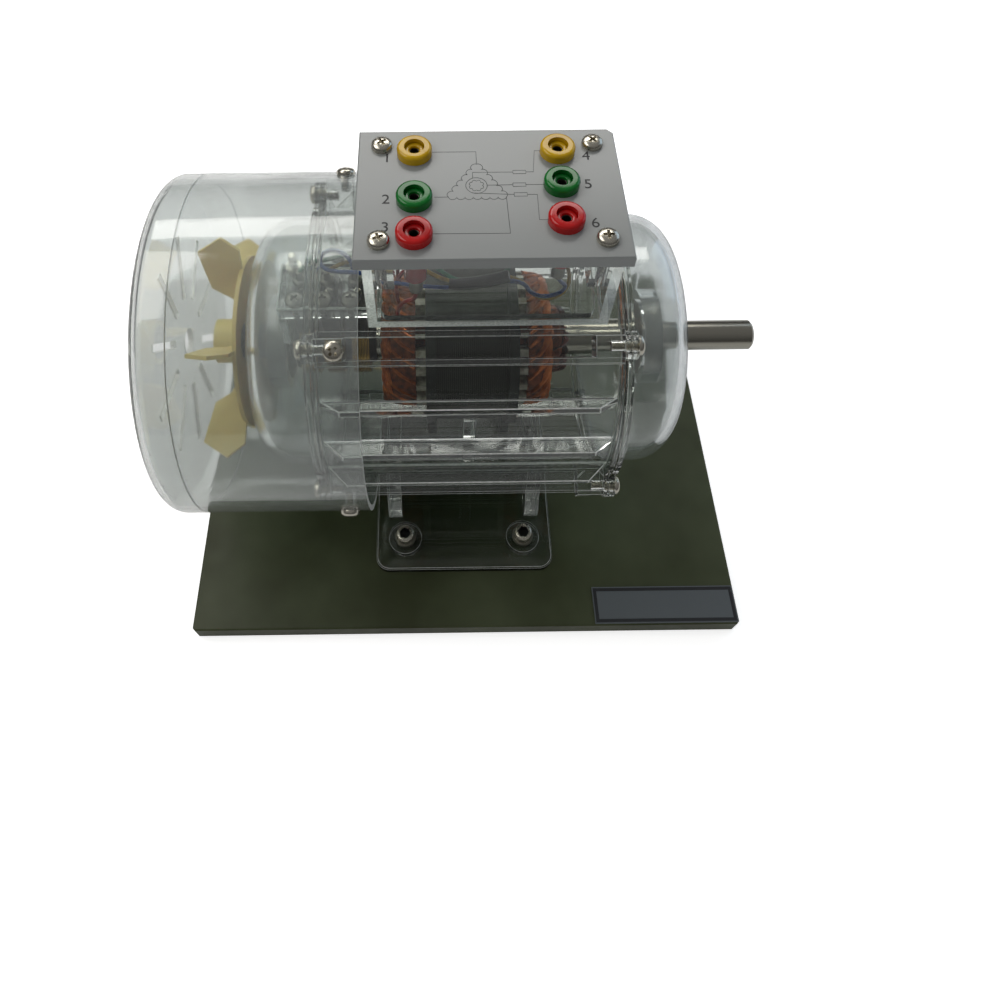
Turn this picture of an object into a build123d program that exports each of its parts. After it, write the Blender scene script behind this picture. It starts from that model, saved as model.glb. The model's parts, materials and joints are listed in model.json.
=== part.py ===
"""A see-through demonstration motor: a wound-rotor machine with slip rings in a clear acrylic case.

Millimetres, +Z up. The origin is the middle of the underside of the base board, and the shaft
lies along +X at axis_height, with its output end at +X and the fan at -X. Angles round the shaft
are counted from the top toward the front, which is -Y.
"""

import os
from math import cos, pi, radians, sin, sqrt, tan

from build123d import *

# --- driving dimensions -------------------------------------------------------------------

board_length, board_depth, board_thickness = 306, 248, 12
board_corner, board_edge = 1.5, 0.8
axis_height = 117

case_length = 138
case_radius, case_wall = 72, 4
flange_radius, flange_thickness = 76, 3
lug_count, lug_radius, lug_width, lug_hole_circle = 5, 85, 13, 79
fin_thickness, fin_tip_radius, fin_slant = 3, 82, 10

bell_radius, bell_wall, bell_depth, bell_corner = 66, 4, 35, 20
bearing_bore, bearing_outside, bearing_width = 17, 40, 12
bearing_cover = 3

cowl_radius, cowl_wall = 90, 3
cowl_open_x, cowl_seam_x, cowl_end_x = -49, -133, -151
cap_corner, cap_centre_hole = 8, 7.5
vent_count, vent_inner_radius, vent_outer_radius, vent_width = 10, 24, 58.5, 4

core_left_x, core_right_x = -15, 21
core_outer_radius, core_bore_radius = 43, 26.5
end_plate_thickness = 5
stator_slots, rotor_slots = 24, 18

ring_places = (-81, -67.5, -54)
ring_radius, ring_width = 17.5, 9

fan_blades, fan_first_blade = 6, 40

box_middle_x, box_length, box_depth, box_wall = 9, 109, 69, 4
plate_length, plate_depth, plate_thickness = 115, 75, 6
plate_top = 233

foot_length, foot_depth, foot_thickness, foot_corner = 102, 186, 5, 8
foot_bolt_x, foot_bolt_y = 34, 76
saddle_x, saddle_thickness = 40, 8

screw_shank, screw_head, screw_head_height, screw_head_taper = 5, 9.5, 3.2, 22
lead_diameter = 2

# --- derived values -----------------------------------------------------------------------

case_end = case_length / 2
flange_outer_x = case_end + flange_thickness
bell_flange_outer_x = flange_outer_x + flange_thickness
bell_end_x = flange_outer_x + bell_depth
bearing_outer_x = bell_end_x - bearing_cover
bearing_inner_x = bearing_outer_x - bearing_width
plate_under = plate_top - plate_thickness
foot_top = board_thickness + foot_thickness
lug_angles = [180 - step * 360 / lug_count for step in range(lug_count)]
shaft_line = Axis((0, 0, axis_height), (1, 0, 0))

# Radius inside the case wall from which lugs and channels are drawn before the case is cut away.
root_radius = 60
# How far a cutting profile runs past the surface that it cuts.
past = 1

# Plane with the shaft axis as its own X and height above the axis as its own Y.
axial_plane = Plane(origin=(0, 0, axis_height), x_dir=(1, 0, 0), z_dir=(0, -1, 0))


def across(x):
    """Plane square to the shaft at x, its own origin on the shaft axis."""
    return Plane(origin=(x, 0, axis_height), x_dir=(0, 1, 0), z_dir=(1, 0, 0))


def outward(angle):
    """Direction away from the shaft at an angle."""
    return Vector(0, -sin(radians(angle)), cos(radians(angle)))


def radial(angle, distance, x):
    """Plane facing away from the shaft, at a distance from it."""
    middle = Vector(x, 0, axis_height) + outward(angle) * distance
    return Plane(origin=middle, x_dir=(1, 0, 0), z_dir=outward(angle))


def fin_plane(angle):
    """Plane that holds the shaft axis, its own Y pointing away from the shaft at the angle."""
    return Plane(origin=(0, 0, axis_height), x_dir=(1, 0, 0), z_dir=Vector(1, 0, 0).cross(outward(angle)))


def save(body, name):
    """Labels a finished piece and writes it under its own name."""
    body.part.label = name
    export_step(body.part, f"parts/{name}.step")


def side_name(side):
    """Name of an end of the motor: right is the output end."""
    return "right" if side > 0 else "left"


os.makedirs("parts", exist_ok=True)

# --- base board and feet ------------------------------------------------------------------

foot_bolt_places = [(x, y) for x in (-foot_bolt_x, foot_bolt_x) for y in (-foot_bolt_y, foot_bolt_y)]
bolt_shank, bolt_head, bolt_head_height, bolt_floor = 6, 10, 6, 3
key_radius, key_depth = 2.9, 3.5
pad_diameter, pad_thickness = 19, 5
washer_diameter, washer_thickness = 12, 1.6
pad_top = foot_top + pad_thickness
bolt_seat = pad_top + washer_thickness

with BuildPart() as base_board:
    with BuildSketch():
        Rectangle(board_length, board_depth)
    extrude(amount=board_thickness)
    chamfer(base_board.edges().filter_by(Axis.Z), board_corner)
    chamfer(base_board.faces().sort_by(Axis.Z)[-1].edges(), board_edge)
    with Locations((0, 0, board_thickness)):
        with Locations(*foot_bolt_places):
            Hole(bolt_shank / 2, depth=board_thickness - bolt_floor)
save(base_board, "base_board")

label_length, label_depth, label_thickness = 80, 20, 1
label_middle_x = board_length / 2 - board_edge - label_length / 2
label_middle_y = board_edge + label_depth / 2 - board_depth / 2
with BuildPart() as name_plate:
    with BuildSketch(Plane.XY.offset(board_thickness)):
        with Locations((label_middle_x, label_middle_y)):
            Rectangle(label_length, label_depth)
    extrude(amount=label_thickness)
save(name_plate, "name_plate")

with BuildPart() as foot_plate:
    with BuildSketch(Plane.XY.offset(board_thickness)):
        RectangleRounded(foot_length, foot_depth, foot_corner)
        with Locations(*foot_bolt_places):
            Circle(bolt_shank / 2, mode=Mode.SUBTRACT)
    extrude(amount=foot_thickness)
    chamfer(foot_plate.faces().sort_by(Axis.Z)[-1].outer_wire().edges(), board_edge)
save(foot_plate, "foot_plate")

with BuildPart() as foot_pads:
    with BuildSketch(Plane.XY.offset(foot_top)):
        with Locations(*foot_bolt_places):
            Circle(pad_diameter / 2)
            Circle(bolt_shank / 2, mode=Mode.SUBTRACT)
    extrude(amount=pad_thickness)
save(foot_pads, "foot_pads")

with BuildPart() as foot_washers:
    with BuildSketch(Plane.XY.offset(pad_top)):
        with Locations(*foot_bolt_places):
            Circle(washer_diameter / 2)
            Circle(bolt_shank / 2, mode=Mode.SUBTRACT)
    extrude(amount=washer_thickness)
save(foot_washers, "foot_washers")

with BuildPart() as foot_bolts:
    with BuildSketch(Plane.XY.offset(bolt_seat)):
        with Locations(*foot_bolt_places):
            Circle(bolt_head / 2)
    extrude(amount=bolt_head_height)
    with BuildSketch(Plane.XY.offset(bolt_seat + bolt_head_height)):
        with Locations(*foot_bolt_places):
            RegularPolygon(key_radius, 6)
    extrude(amount=-key_depth, mode=Mode.SUBTRACT)
    with BuildSketch(Plane.XY.offset(bolt_seat)):
        with Locations(*foot_bolt_places):
            Circle(bolt_shank / 2)
    extrude(amount=bolt_floor - bolt_seat)
save(foot_bolts, "foot_bolts")

# --- clear case: tube, flanges, fins and the channels that carry the screw blocks ---------

opening_length, opening_depth, opening_corner = 98, 56, 4
with BuildPart() as housing_tube:
    with BuildSketch(across(-case_end)):
        Circle(case_radius)
        Circle(case_radius - case_wall, mode=Mode.SUBTRACT)
    extrude(amount=case_length)
    with BuildSketch(Plane.XY.offset(axis_height)):
        with Locations((box_middle_x, 0)):
            RectangleRounded(opening_length, opening_depth, opening_corner)
    extrude(amount=case_radius + past, mode=Mode.SUBTRACT)
save(housing_tube, "housing_tube")

lug_straight_end = lug_radius - lug_width / 2


def lugged_ring(inner_radius):
    """Sketch of a flange ring with rounded screw lugs."""
    Circle(flange_radius)
    with PolarLocations(0, lug_count, start_angle=90):
        with Locations((-(lug_straight_end + root_radius) / 2, 0)):
            Rectangle(lug_straight_end - root_radius, lug_width)
        with Locations((-lug_straight_end, 0)):
            Circle(lug_width / 2)
    Circle(inner_radius, mode=Mode.SUBTRACT)
    with PolarLocations(0, lug_count, start_angle=90):
        with Locations((-lug_hole_circle, 0)):
            Circle(screw_shank / 2, mode=Mode.SUBTRACT)


with BuildPart() as housing_flanges:
    for side in (-1, 1):
        with BuildSketch(across(side * case_end)):
            lugged_ring(case_radius - case_wall)
        extrude(amount=side * flange_thickness)
save(housing_flanges, "housing_flanges")

with BuildPart() as bell_flanges:
    for side in (-1, 1):
        with BuildSketch(across(side * flange_outer_x)):
            lugged_ring(bell_radius)
        extrude(amount=side * flange_thickness)
save(bell_flanges, "bell_flanges")

block_width, block_length = 10, 13
flange_screw_grip, cowl_screw_grip = 6, 6
block_top_right, block_top_left = lug_radius - 1, cowl_radius - cowl_wall
channel_offset = (block_width + fin_thickness) / 2
cowl_screw_x = -59.5

with BuildPart() as ear_channels:
    with BuildSketch(across(-case_end)):
        with PolarLocations(0, lug_count, start_angle=90):
            for offset in (-channel_offset, channel_offset):
                with Locations((-(fin_tip_radius + root_radius) / 2, offset)):
                    Rectangle(fin_tip_radius - root_radius, fin_thickness)
        Circle(case_radius, mode=Mode.SUBTRACT)
    extrude(amount=case_length)
    with BuildSketch(across(-case_end)):
        with PolarLocations(0, lug_count, start_angle=90):
            with Locations((-(block_top_left + past + root_radius) / 2, 0)):
                Rectangle(block_top_left + past - root_radius, block_width)
        Circle(case_radius, mode=Mode.SUBTRACT)
        Circle(block_top_left, mode=Mode.INTERSECT)
    extrude(amount=block_length)
    with BuildSketch(across(case_end)):
        with PolarLocations(0, lug_count, start_angle=90):
            with Locations((-(block_top_right + root_radius) / 2, 0)):
                Rectangle(block_top_right - root_radius, block_width)
        Circle(case_radius, mode=Mode.SUBTRACT)
    extrude(amount=-block_length)
    for side in (-1, 1):
        with BuildSketch(across(side * case_end)):
            with PolarLocations(0, lug_count, start_angle=90):
                with Locations((-lug_hole_circle, 0)):
                    Circle(screw_shank / 2)
        extrude(amount=-side * flange_screw_grip, mode=Mode.SUBTRACT)
    for angle in lug_angles:
        with BuildSketch(radial(angle, block_top_left - cowl_screw_grip, cowl_screw_x)):
            Circle(screw_shank / 2)
        extrude(amount=cowl_screw_grip + past, mode=Mode.SUBTRACT)
save(ear_channels, "ear_channels")

low_fin = 150
fin_angles = [turn * angle for turn in (-1, 1) for angle in (57, 75, 93, 132, low_fin)]

with BuildPart() as cooling_fins:
    for angle in fin_angles:
        with BuildSketch(fin_plane(angle)):
            with BuildLine():
                Polyline(
                    (-case_end, case_radius),
                    (fin_slant - case_end, fin_tip_radius),
                    (case_end - fin_slant, fin_tip_radius),
                    (case_end, case_radius),
                    close=True,
                )
            make_face()
        extrude(amount=fin_thickness / 2, both=True)
save(cooling_fins, "cooling_fins")

# --- saddles between the foot plate and the case ------------------------------------------

saddle_half_foot, saddle_lip, saddle_half_top, saddle_corner_z = 62, 8, 45, 62
fin_middle_radius, fin_slot_depth = (fin_tip_radius + case_radius) / 2, fin_tip_radius - case_radius + past

for side in (-1, 1):
    with BuildPart() as saddle:
        with BuildSketch(across(side * saddle_x - saddle_thickness / 2)):
            with BuildLine():
                Polyline(
                    (-saddle_half_foot, foot_top - axis_height),
                    (-saddle_half_foot, foot_top + saddle_lip - axis_height),
                    (-saddle_half_top, saddle_corner_z - axis_height),
                    (saddle_half_top, saddle_corner_z - axis_height),
                    (saddle_half_foot, foot_top + saddle_lip - axis_height),
                    (saddle_half_foot, foot_top - axis_height),
                    close=True,
                )
            make_face()
            Circle(case_radius, mode=Mode.SUBTRACT)
            for angle in (-low_fin, low_fin):
                with PolarLocations(0, 1, start_angle=90 + angle):
                    with Locations((fin_middle_radius, 0)):
                        Rectangle(fin_slot_depth, fin_thickness, mode=Mode.SUBTRACT)
            for offset in (-channel_offset, channel_offset):
                with Locations((offset, -fin_middle_radius)):
                    Rectangle(fin_thickness, fin_slot_depth, mode=Mode.SUBTRACT)
        extrude(amount=saddle_thickness)
    save(saddle, f"saddle_{side_name(side)}")

# --- end bells and the bearings that they hold --------------------------------------------

boss_radius, bearing_lip_radius = 25.5, 14
shield_inner, race_inner, race_outer = 12, 17, 11.7
shield_thickness, shield_inset = 1, 0.5
bell_inside, bell_flat_radius = bell_radius - bell_wall, bell_radius - bell_corner
bell_flat_x, bell_corner_x = bell_end_x - bell_wall, bell_end_x - bell_corner

for side in (-1, 1):
    with BuildPart() as end_bell:
        with BuildSketch(axial_plane):
            with BuildLine():
                Polyline(
                    (side * flange_outer_x, bell_inside),
                    (side * flange_outer_x, bell_radius),
                    (side * bell_corner_x, bell_radius),
                )
                RadiusArc(
                    (side * bell_corner_x, bell_radius),
                    (side * bell_end_x, bell_flat_radius),
                    side * bell_corner,
                )
                Polyline(
                    (side * bell_end_x, bell_flat_radius),
                    (side * bell_end_x, bearing_lip_radius),
                    (side * bearing_outer_x, bearing_lip_radius),
                    (side * bearing_outer_x, bearing_outside / 2),
                    (side * bearing_inner_x, bearing_outside / 2),
                    (side * bearing_inner_x, boss_radius),
                    (side * bell_flat_x, boss_radius),
                    (side * bell_flat_x, bell_flat_radius),
                )
                RadiusArc(
                    (side * bell_flat_x, bell_flat_radius),
                    (side * bell_corner_x, bell_inside),
                    -side * (bell_corner - bell_wall),
                )
                Line((side * bell_corner_x, bell_inside), (side * flange_outer_x, bell_inside))
            make_face()
        revolve(axis=shaft_line)
    save(end_bell, f"end_bell_{side_name(side)}")

    with BuildPart() as bearing_outer:
        with BuildSketch(across(side * bearing_inner_x)):
            Circle(bearing_outside / 2)
            Circle(race_inner, mode=Mode.SUBTRACT)
        extrude(amount=side * bearing_width)
        for shield_x in (bearing_inner_x + shield_inset, bearing_outer_x - shield_inset - shield_thickness):
            with BuildSketch(across(side * shield_x)):
                Circle(race_inner)
                Circle(shield_inner, mode=Mode.SUBTRACT)
            extrude(amount=side * shield_thickness)
    save(bearing_outer, f"bearing_{side_name(side)}_outer")

    with BuildPart() as bearing_inner:
        with BuildSketch(across(side * bearing_inner_x)):
            Circle(race_outer)
            Circle(bearing_bore / 2, mode=Mode.SUBTRACT)
        extrude(amount=side * bearing_width)
    save(bearing_inner, f"bearing_{side_name(side)}_inner")

# --- screws through the flanges and the cowl ----------------------------------------------

with BuildPart() as flange_screws:
    for side in (-1, 1):
        with BuildSketch(across(side * bell_flange_outer_x)):
            with PolarLocations(0, lug_count, start_angle=90):
                with Locations((-lug_hole_circle, 0)):
                    Circle(screw_head / 2)
        extrude(amount=side * screw_head_height, taper=screw_head_taper)
        with BuildSketch(across(side * bell_flange_outer_x)):
            with PolarLocations(0, lug_count, start_angle=90):
                with Locations((-lug_hole_circle, 0)):
                    Circle(screw_shank / 2)
        extrude(amount=-side * (2 * flange_thickness + flange_screw_grip))
save(flange_screws, "flange_screws")

with BuildPart() as cowl_screws:
    for angle in lug_angles:
        with BuildSketch(radial(angle, cowl_radius, cowl_screw_x)):
            Circle(screw_head / 2)
        extrude(amount=screw_head_height, taper=screw_head_taper)
        with BuildSketch(radial(angle, cowl_radius, cowl_screw_x)):
            Circle(screw_shank / 2)
        extrude(amount=-cowl_wall - cowl_screw_grip)
save(cowl_screws, "cowl_screws")

# --- fan cowl and its slotted cap ---------------------------------------------------------

with BuildPart() as fan_cowl:
    with BuildSketch(across(cowl_seam_x)):
        Circle(cowl_radius)
        Circle(cowl_radius - cowl_wall, mode=Mode.SUBTRACT)
    extrude(amount=cowl_open_x - cowl_seam_x)
    for angle in lug_angles:
        with BuildSketch(radial(angle, 0, cowl_screw_x)):
            Circle(screw_shank / 2)
        extrude(amount=cowl_radius + past, mode=Mode.SUBTRACT)
save(fan_cowl, "fan_cowl")

cowl_inside, cap_flat_radius = cowl_radius - cowl_wall, cowl_radius - cap_corner
cap_corner_x, cap_inner_x = cowl_end_x + cap_corner, cowl_end_x + cowl_wall
vent_middle_radius = (vent_inner_radius + vent_outer_radius) / 2

with BuildPart() as cowl_cap:
    with BuildSketch(axial_plane):
        with BuildLine():
            Polyline((cowl_seam_x, cowl_inside), (cowl_seam_x, cowl_radius), (cap_corner_x, cowl_radius))
            RadiusArc((cap_corner_x, cowl_radius), (cowl_end_x, cap_flat_radius), -cap_corner)
            Polyline(
                (cowl_end_x, cap_flat_radius),
                (cowl_end_x, cap_centre_hole),
                (cap_inner_x, cap_centre_hole),
                (cap_inner_x, cap_flat_radius),
            )
            RadiusArc((cap_inner_x, cap_flat_radius), (cap_corner_x, cowl_inside), cap_corner - cowl_wall)
            Line((cap_corner_x, cowl_inside), (cowl_seam_x, cowl_inside))
        make_face()
    revolve(axis=shaft_line)
    with BuildSketch(across(cowl_end_x - past)):
        with PolarLocations(vent_middle_radius, vent_count, start_angle=90):
            Rectangle(vent_outer_radius - vent_inner_radius, vent_width)
    extrude(amount=cowl_wall + 2 * past, mode=Mode.SUBTRACT)
save(cowl_cap, "cowl_cap")

# --- terminal box, its plate, screws and safety sockets -----------------------------------

corner_block, corner_block_height = 9, 20
plate_corner, plate_edge = 2.5, 0.6
plate_screw_x, plate_screw_y, plate_screw_grip = 47, 27.5, 12
plate_screw_places = [
    (box_middle_x + x, y) for x in (-plate_screw_x, plate_screw_x) for y in (-plate_screw_y, plate_screw_y)
]
block_middle_x, block_middle_y = [
    side / 2 - box_wall - corner_block / 2 for side in (box_length, box_depth)
]
corner_block_places = [
    (box_middle_x + end * block_middle_x, front * block_middle_y) for end in (-1, 1) for front in (-1, 1)
]

with BuildPart() as terminal_box:
    with BuildSketch(Plane.XY.offset(axis_height)):
        with Locations((box_middle_x, 0)):
            Rectangle(box_length, box_depth)
            Rectangle(box_length - 2 * box_wall, box_depth - 2 * box_wall, mode=Mode.SUBTRACT)
    extrude(amount=plate_under - axis_height)
    with BuildSketch(across(-case_end)):
        Circle(case_radius)
    extrude(amount=case_length, mode=Mode.SUBTRACT)
save(terminal_box, "terminal_box")

with BuildPart() as corner_blocks:
    with BuildSketch(Plane.XY.offset(plate_under)):
        with Locations(*corner_block_places):
            Rectangle(corner_block, corner_block)
        with Locations(*plate_screw_places):
            Circle(screw_shank / 2, mode=Mode.SUBTRACT)
    extrude(amount=-corner_block_height)
save(corner_blocks, "corner_blocks")

stator_socket_x, rotor_socket_x = -23.4, 40
socket_places = {
    "yellow": [(stator_socket_x, 23), (rotor_socket_x, 23)],
    "green": [(stator_socket_x, -4.5), (rotor_socket_x, 3)],
    "red": [(stator_socket_x, -24.5), (rotor_socket_x, -17.5)],
}
all_sockets = [place for places in socket_places.values() for place in places]
socket_collar, socket_collar_height, socket_collar_round, socket_barrel = 15.6, 4.5, 1.6, 10
socket_recess, socket_bore, contact_outside = 9, 4, 6.2
socket_depth, socket_floor, contact_rise, contact_tail = 24, 2, 1, 10

with BuildPart() as terminal_plate:
    with BuildSketch(Plane.XY.offset(plate_under)):
        with Locations((box_middle_x, 0)):
            Rectangle(plate_length, plate_depth)
        with Locations(*plate_screw_places):
            Circle(screw_shank / 2, mode=Mode.SUBTRACT)
        with Locations(*all_sockets):
            Circle(socket_barrel / 2, mode=Mode.SUBTRACT)
    extrude(amount=plate_thickness)
    chamfer(terminal_plate.edges().filter_by(Axis.Z).sort_by(Axis.X)[-1:], plate_corner)
    chamfer(terminal_plate.faces().sort_by(Axis.Z)[-1].outer_wire().edges(), plate_edge)
save(terminal_plate, "terminal_plate")

with BuildPart() as plate_screws:
    with BuildSketch(Plane.XY.offset(plate_top)):
        with Locations(*plate_screw_places):
            Circle(screw_head / 2)
    extrude(amount=screw_head_height, taper=screw_head_taper)
    with BuildSketch(Plane.XY.offset(plate_top)):
        with Locations(*plate_screw_places):
            Circle(screw_shank / 2)
    extrude(amount=-plate_thickness - plate_screw_grip)
save(plate_screws, "plate_screws")

for colour, places in socket_places.items():
    with BuildPart() as socket_shells:
        with BuildSketch(Plane.XY.offset(plate_top)):
            with Locations(*places):
                Circle(socket_collar / 2)
        extrude(amount=socket_collar_height)
        fillet(socket_shells.faces().group_by(Axis.Z)[-1].edges(), socket_collar_round)
        with BuildSketch(Plane.XY.offset(plate_top)):
            with Locations(*places):
                Circle(socket_barrel / 2)
        extrude(amount=-socket_depth)
        with BuildSketch(Plane.XY.offset(plate_top + socket_collar_height)):
            with Locations(*places):
                Circle(socket_recess / 2)
        extrude(amount=socket_floor - socket_collar_height - socket_depth, mode=Mode.SUBTRACT)
        with BuildSketch(Plane.XY.offset(plate_top)):
            with Locations(*places):
                Circle(contact_outside / 2)
        extrude(amount=-socket_depth - past, mode=Mode.SUBTRACT)
    save(socket_shells, f"sockets_{colour}")

contact_foot = plate_top - socket_depth - contact_tail
with BuildPart() as socket_contacts:
    with BuildSketch(Plane.XY.offset(contact_foot)):
        with Locations(*all_sockets):
            Circle(contact_outside / 2)
    extrude(amount=plate_top + contact_rise - contact_foot)
    with BuildSketch(Plane.XY.offset(plate_top + contact_rise)):
        with Locations(*all_sockets):
            Circle(socket_bore / 2)
    extrude(amount=-socket_depth, mode=Mode.SUBTRACT)
save(socket_contacts, "socket_contacts")

nut_across, nut_height = 11.5, 3
with BuildPart() as socket_nuts:
    with BuildSketch(Plane.XY.offset(plate_under)):
        with Locations(*all_sockets):
            RegularPolygon(nut_across / 2, 6, major_radius=False)
            Circle(socket_barrel / 2, mode=Mode.SUBTRACT)
    extrude(amount=-nut_height)
save(socket_nuts, "socket_nuts")

# --- stator -------------------------------------------------------------------------------

slot_mouth, slot_width, slot_depth, slot_start = 2, 3.6, 9.4, 28
slot_middle = slot_start + slot_depth / 2
mouth_depth = slot_start + past - core_bore_radius + past
liner_wall, liner_overhang = 0.5, 5
plate_inner_radius, plate_outer_radius = 39.5, 45.5
plate_left_x, plate_right_x = core_left_x - end_plate_thickness, core_right_x + end_plate_thickness
liner_left_x, liner_right_x = plate_left_x - liner_overhang, plate_right_x + liner_overhang

with BuildPart() as stator_core:
    with BuildSketch(across(core_left_x)):
        Circle(core_outer_radius)
        Circle(core_bore_radius, mode=Mode.SUBTRACT)
        with PolarLocations(0, stator_slots, start_angle=90):
            with Locations((slot_middle, 0)):
                Rectangle(slot_depth, slot_width, mode=Mode.SUBTRACT)
            with Locations((core_bore_radius - past + mouth_depth / 2, 0)):
                Rectangle(mouth_depth, slot_mouth, mode=Mode.SUBTRACT)
    extrude(amount=core_right_x - core_left_x)
save(stator_core, "stator_core")

with BuildPart() as slot_liners:
    with BuildSketch(across(liner_left_x)):
        with PolarLocations(0, stator_slots, start_angle=90):
            with Locations((slot_middle, 0)):
                Rectangle(slot_depth, slot_width)
                Rectangle(slot_depth - 2 * liner_wall, slot_width - 2 * liner_wall, mode=Mode.SUBTRACT)
    extrude(amount=liner_right_x - liner_left_x)
save(slot_liners, "slot_liners")

leg_outer, leg_width = 27, 8
for side, plate_x in ((-1, plate_left_x), (1, core_right_x)):
    with BuildPart() as stator_plate:
        with BuildSketch(across(plate_x)):
            Circle(plate_outer_radius)
            for leg in (-1, 1):
                with Locations((leg * (leg_outer - leg_width / 2), -case_radius / 2)):
                    Rectangle(leg_width, case_radius)
            Circle(plate_inner_radius, mode=Mode.SUBTRACT)
            Circle(case_radius - case_wall, mode=Mode.INTERSECT)
        extrude(amount=end_plate_thickness)
    save(stator_plate, f"stator_plate_{side_name(side)}")

cradle_thickness, cradle_half_width, cradle_top = 7, 36, 20
with BuildPart() as stator_cradle:
    with BuildSketch(across((core_left_x + core_right_x - cradle_thickness) / 2)):
        with Locations((0, -(case_radius + cradle_top) / 2)):
            Rectangle(2 * cradle_half_width, case_radius - cradle_top)
        Circle(case_radius - case_wall, mode=Mode.INTERSECT)
        Circle(core_outer_radius, mode=Mode.SUBTRACT)
    extrude(amount=cradle_thickness)
save(stator_cradle, "stator_cradle")

coil_inner, coil_outer, coil_corner = 27.5, 38.5, 3.5
coil_left_reach, coil_right_reach = 16, 11
coil_spans = (
    (-1, liner_left_x, liner_left_x - coil_left_reach),
    (1, liner_right_x, liner_right_x + coil_right_reach),
)
for side, near_x, far_x in coil_spans:
    with BuildPart() as stator_coils:
        with BuildSketch(axial_plane):
            with Locations(((near_x + far_x) / 2, (coil_inner + coil_outer) / 2)):
                RectangleRounded(abs(far_x - near_x), coil_outer - coil_inner, coil_corner)
        revolve(axis=shaft_line)
    save(stator_coils, f"stator_coils_{side_name(side)}")

# --- rotor --------------------------------------------------------------------------------

rotor_radius, shaft_radius, output_radius, fan_seat_radius = 25.8, 9.5, 8, 6
shaft_end_x, fan_end_x, bush_right = 155, -131, -113
fan_end_chamfer, output_chamfer = 1, 1.2

with BuildPart() as shaft:
    with BuildSketch(axial_plane):
        with BuildLine():
            Polyline(
                (fan_end_x, 0),
                (fan_end_x, fan_seat_radius - fan_end_chamfer),
                (fan_end_x + fan_end_chamfer, fan_seat_radius),
                (bush_right, fan_seat_radius),
                (bush_right, bearing_bore / 2),
                (-bearing_inner_x, bearing_bore / 2),
                (-bearing_inner_x, shaft_radius),
                (bearing_inner_x, shaft_radius),
                (bearing_inner_x, bearing_bore / 2),
                (bell_end_x, bearing_bore / 2),
                (bell_end_x, output_radius),
                (shaft_end_x - output_chamfer, output_radius),
                (shaft_end_x, output_radius - output_chamfer),
                (shaft_end_x, 0),
                close=True,
            )
        make_face()
    revolve(axis=shaft_line)
save(shaft, "shaft")

rotor_slot_width, rotor_slot_depth = 3, 8
with BuildPart() as rotor_core:
    with BuildSketch(across(core_left_x)):
        Circle(rotor_radius)
        Circle(shaft_radius, mode=Mode.SUBTRACT)
        with PolarLocations(0, rotor_slots, start_angle=90):
            with Locations((rotor_radius - rotor_slot_depth / 2, 0)):
                Rectangle(rotor_slot_depth + past, rotor_slot_width, mode=Mode.SUBTRACT)
    extrude(amount=core_right_x - core_left_x)
save(rotor_core, "rotor_core")

rotor_coil_radius, rotor_coil_corner = 22, 3
rotor_coil_left_x, rotor_coil_right_x = -40, 53
for side, near_x, far_x in ((-1, core_left_x, rotor_coil_left_x), (1, core_right_x, rotor_coil_right_x)):
    with BuildPart() as rotor_coils:
        with BuildSketch(axial_plane):
            with Locations(((near_x + far_x) / 2, (rotor_coil_radius + shaft_radius) / 2)):
                RectangleRounded(abs(far_x - near_x), rotor_coil_radius - shaft_radius, rotor_coil_corner)
        revolve(axis=shaft_line)
    save(rotor_coils, f"rotor_coils_{side_name(side)}")

hub_radius, hub_collar_radius, hub_collar_width = 12, 14.5, 3
hub_left_x = ring_places[0] - ring_width / 2 - hub_collar_width
hub_right_x = ring_places[-1] + ring_width / 2 + hub_collar_width
collar_edges = [hub_left_x]
for place in ring_places:
    collar_edges += [place - ring_width / 2, place + ring_width / 2]
collar_edges.append(hub_right_x)

with BuildPart() as ring_hub:
    with BuildSketch(across(hub_left_x)):
        Circle(hub_radius)
        Circle(shaft_radius, mode=Mode.SUBTRACT)
    extrude(amount=hub_right_x - hub_left_x)
    for start, stop in zip(collar_edges[::2], collar_edges[1::2]):
        with BuildSketch(across(start)):
            Circle(hub_collar_radius)
            Circle(shaft_radius, mode=Mode.SUBTRACT)
        extrude(amount=stop - start)
save(ring_hub, "ring_hub")

with BuildPart() as slip_rings:
    for place in ring_places:
        with BuildSketch(across(place - ring_width / 2)):
            Circle(ring_radius)
            Circle(hub_radius, mode=Mode.SUBTRACT)
        extrude(amount=ring_width)
save(slip_rings, "slip_rings")

# --- fan ----------------------------------------------------------------------------------

fan_hub_radius, fan_hub_left, fan_web_root, fan_rim_x, fan_rim_radius = 12, -132, -118, -112, 46
fan_thickness, bush_radius = 2, 9.5
blade_tip_radius = 64

with BuildPart() as fan:
    with BuildSketch(axial_plane):
        with BuildLine():
            Polyline(
                (fan_hub_left, bush_radius),
                (fan_hub_left, fan_hub_radius),
                (fan_web_root - fan_thickness, fan_hub_radius),
                (fan_rim_x - fan_thickness, fan_rim_radius),
                (fan_rim_x, fan_rim_radius),
                (fan_web_root, fan_hub_radius),
                (fan_web_root, bush_radius),
                close=True,
            )
        make_face()
    revolve(axis=shaft_line)
    for blade in range(fan_blades):
        with BuildSketch(fin_plane(fan_first_blade + blade * 360 / fan_blades)):
            with BuildLine():
                # From its root on the cone a blade leans out over the hub, to a pointed tip.
                Polyline(
                    (fan_web_root - 1, 22),
                    (fan_web_root - 2, 28),
                    (fan_web_root - 12, 35),
                    (fan_rim_x - 22, 56),
                    (fan_rim_x - 9.5, blade_tip_radius),
                    (fan_rim_x - 1, 57),
                    (fan_rim_x - 1, fan_rim_radius - 0.5),
                    close=True,
                )
            make_face()
        extrude(amount=fan_thickness / 2, both=True)
save(fan, "fan")

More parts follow.
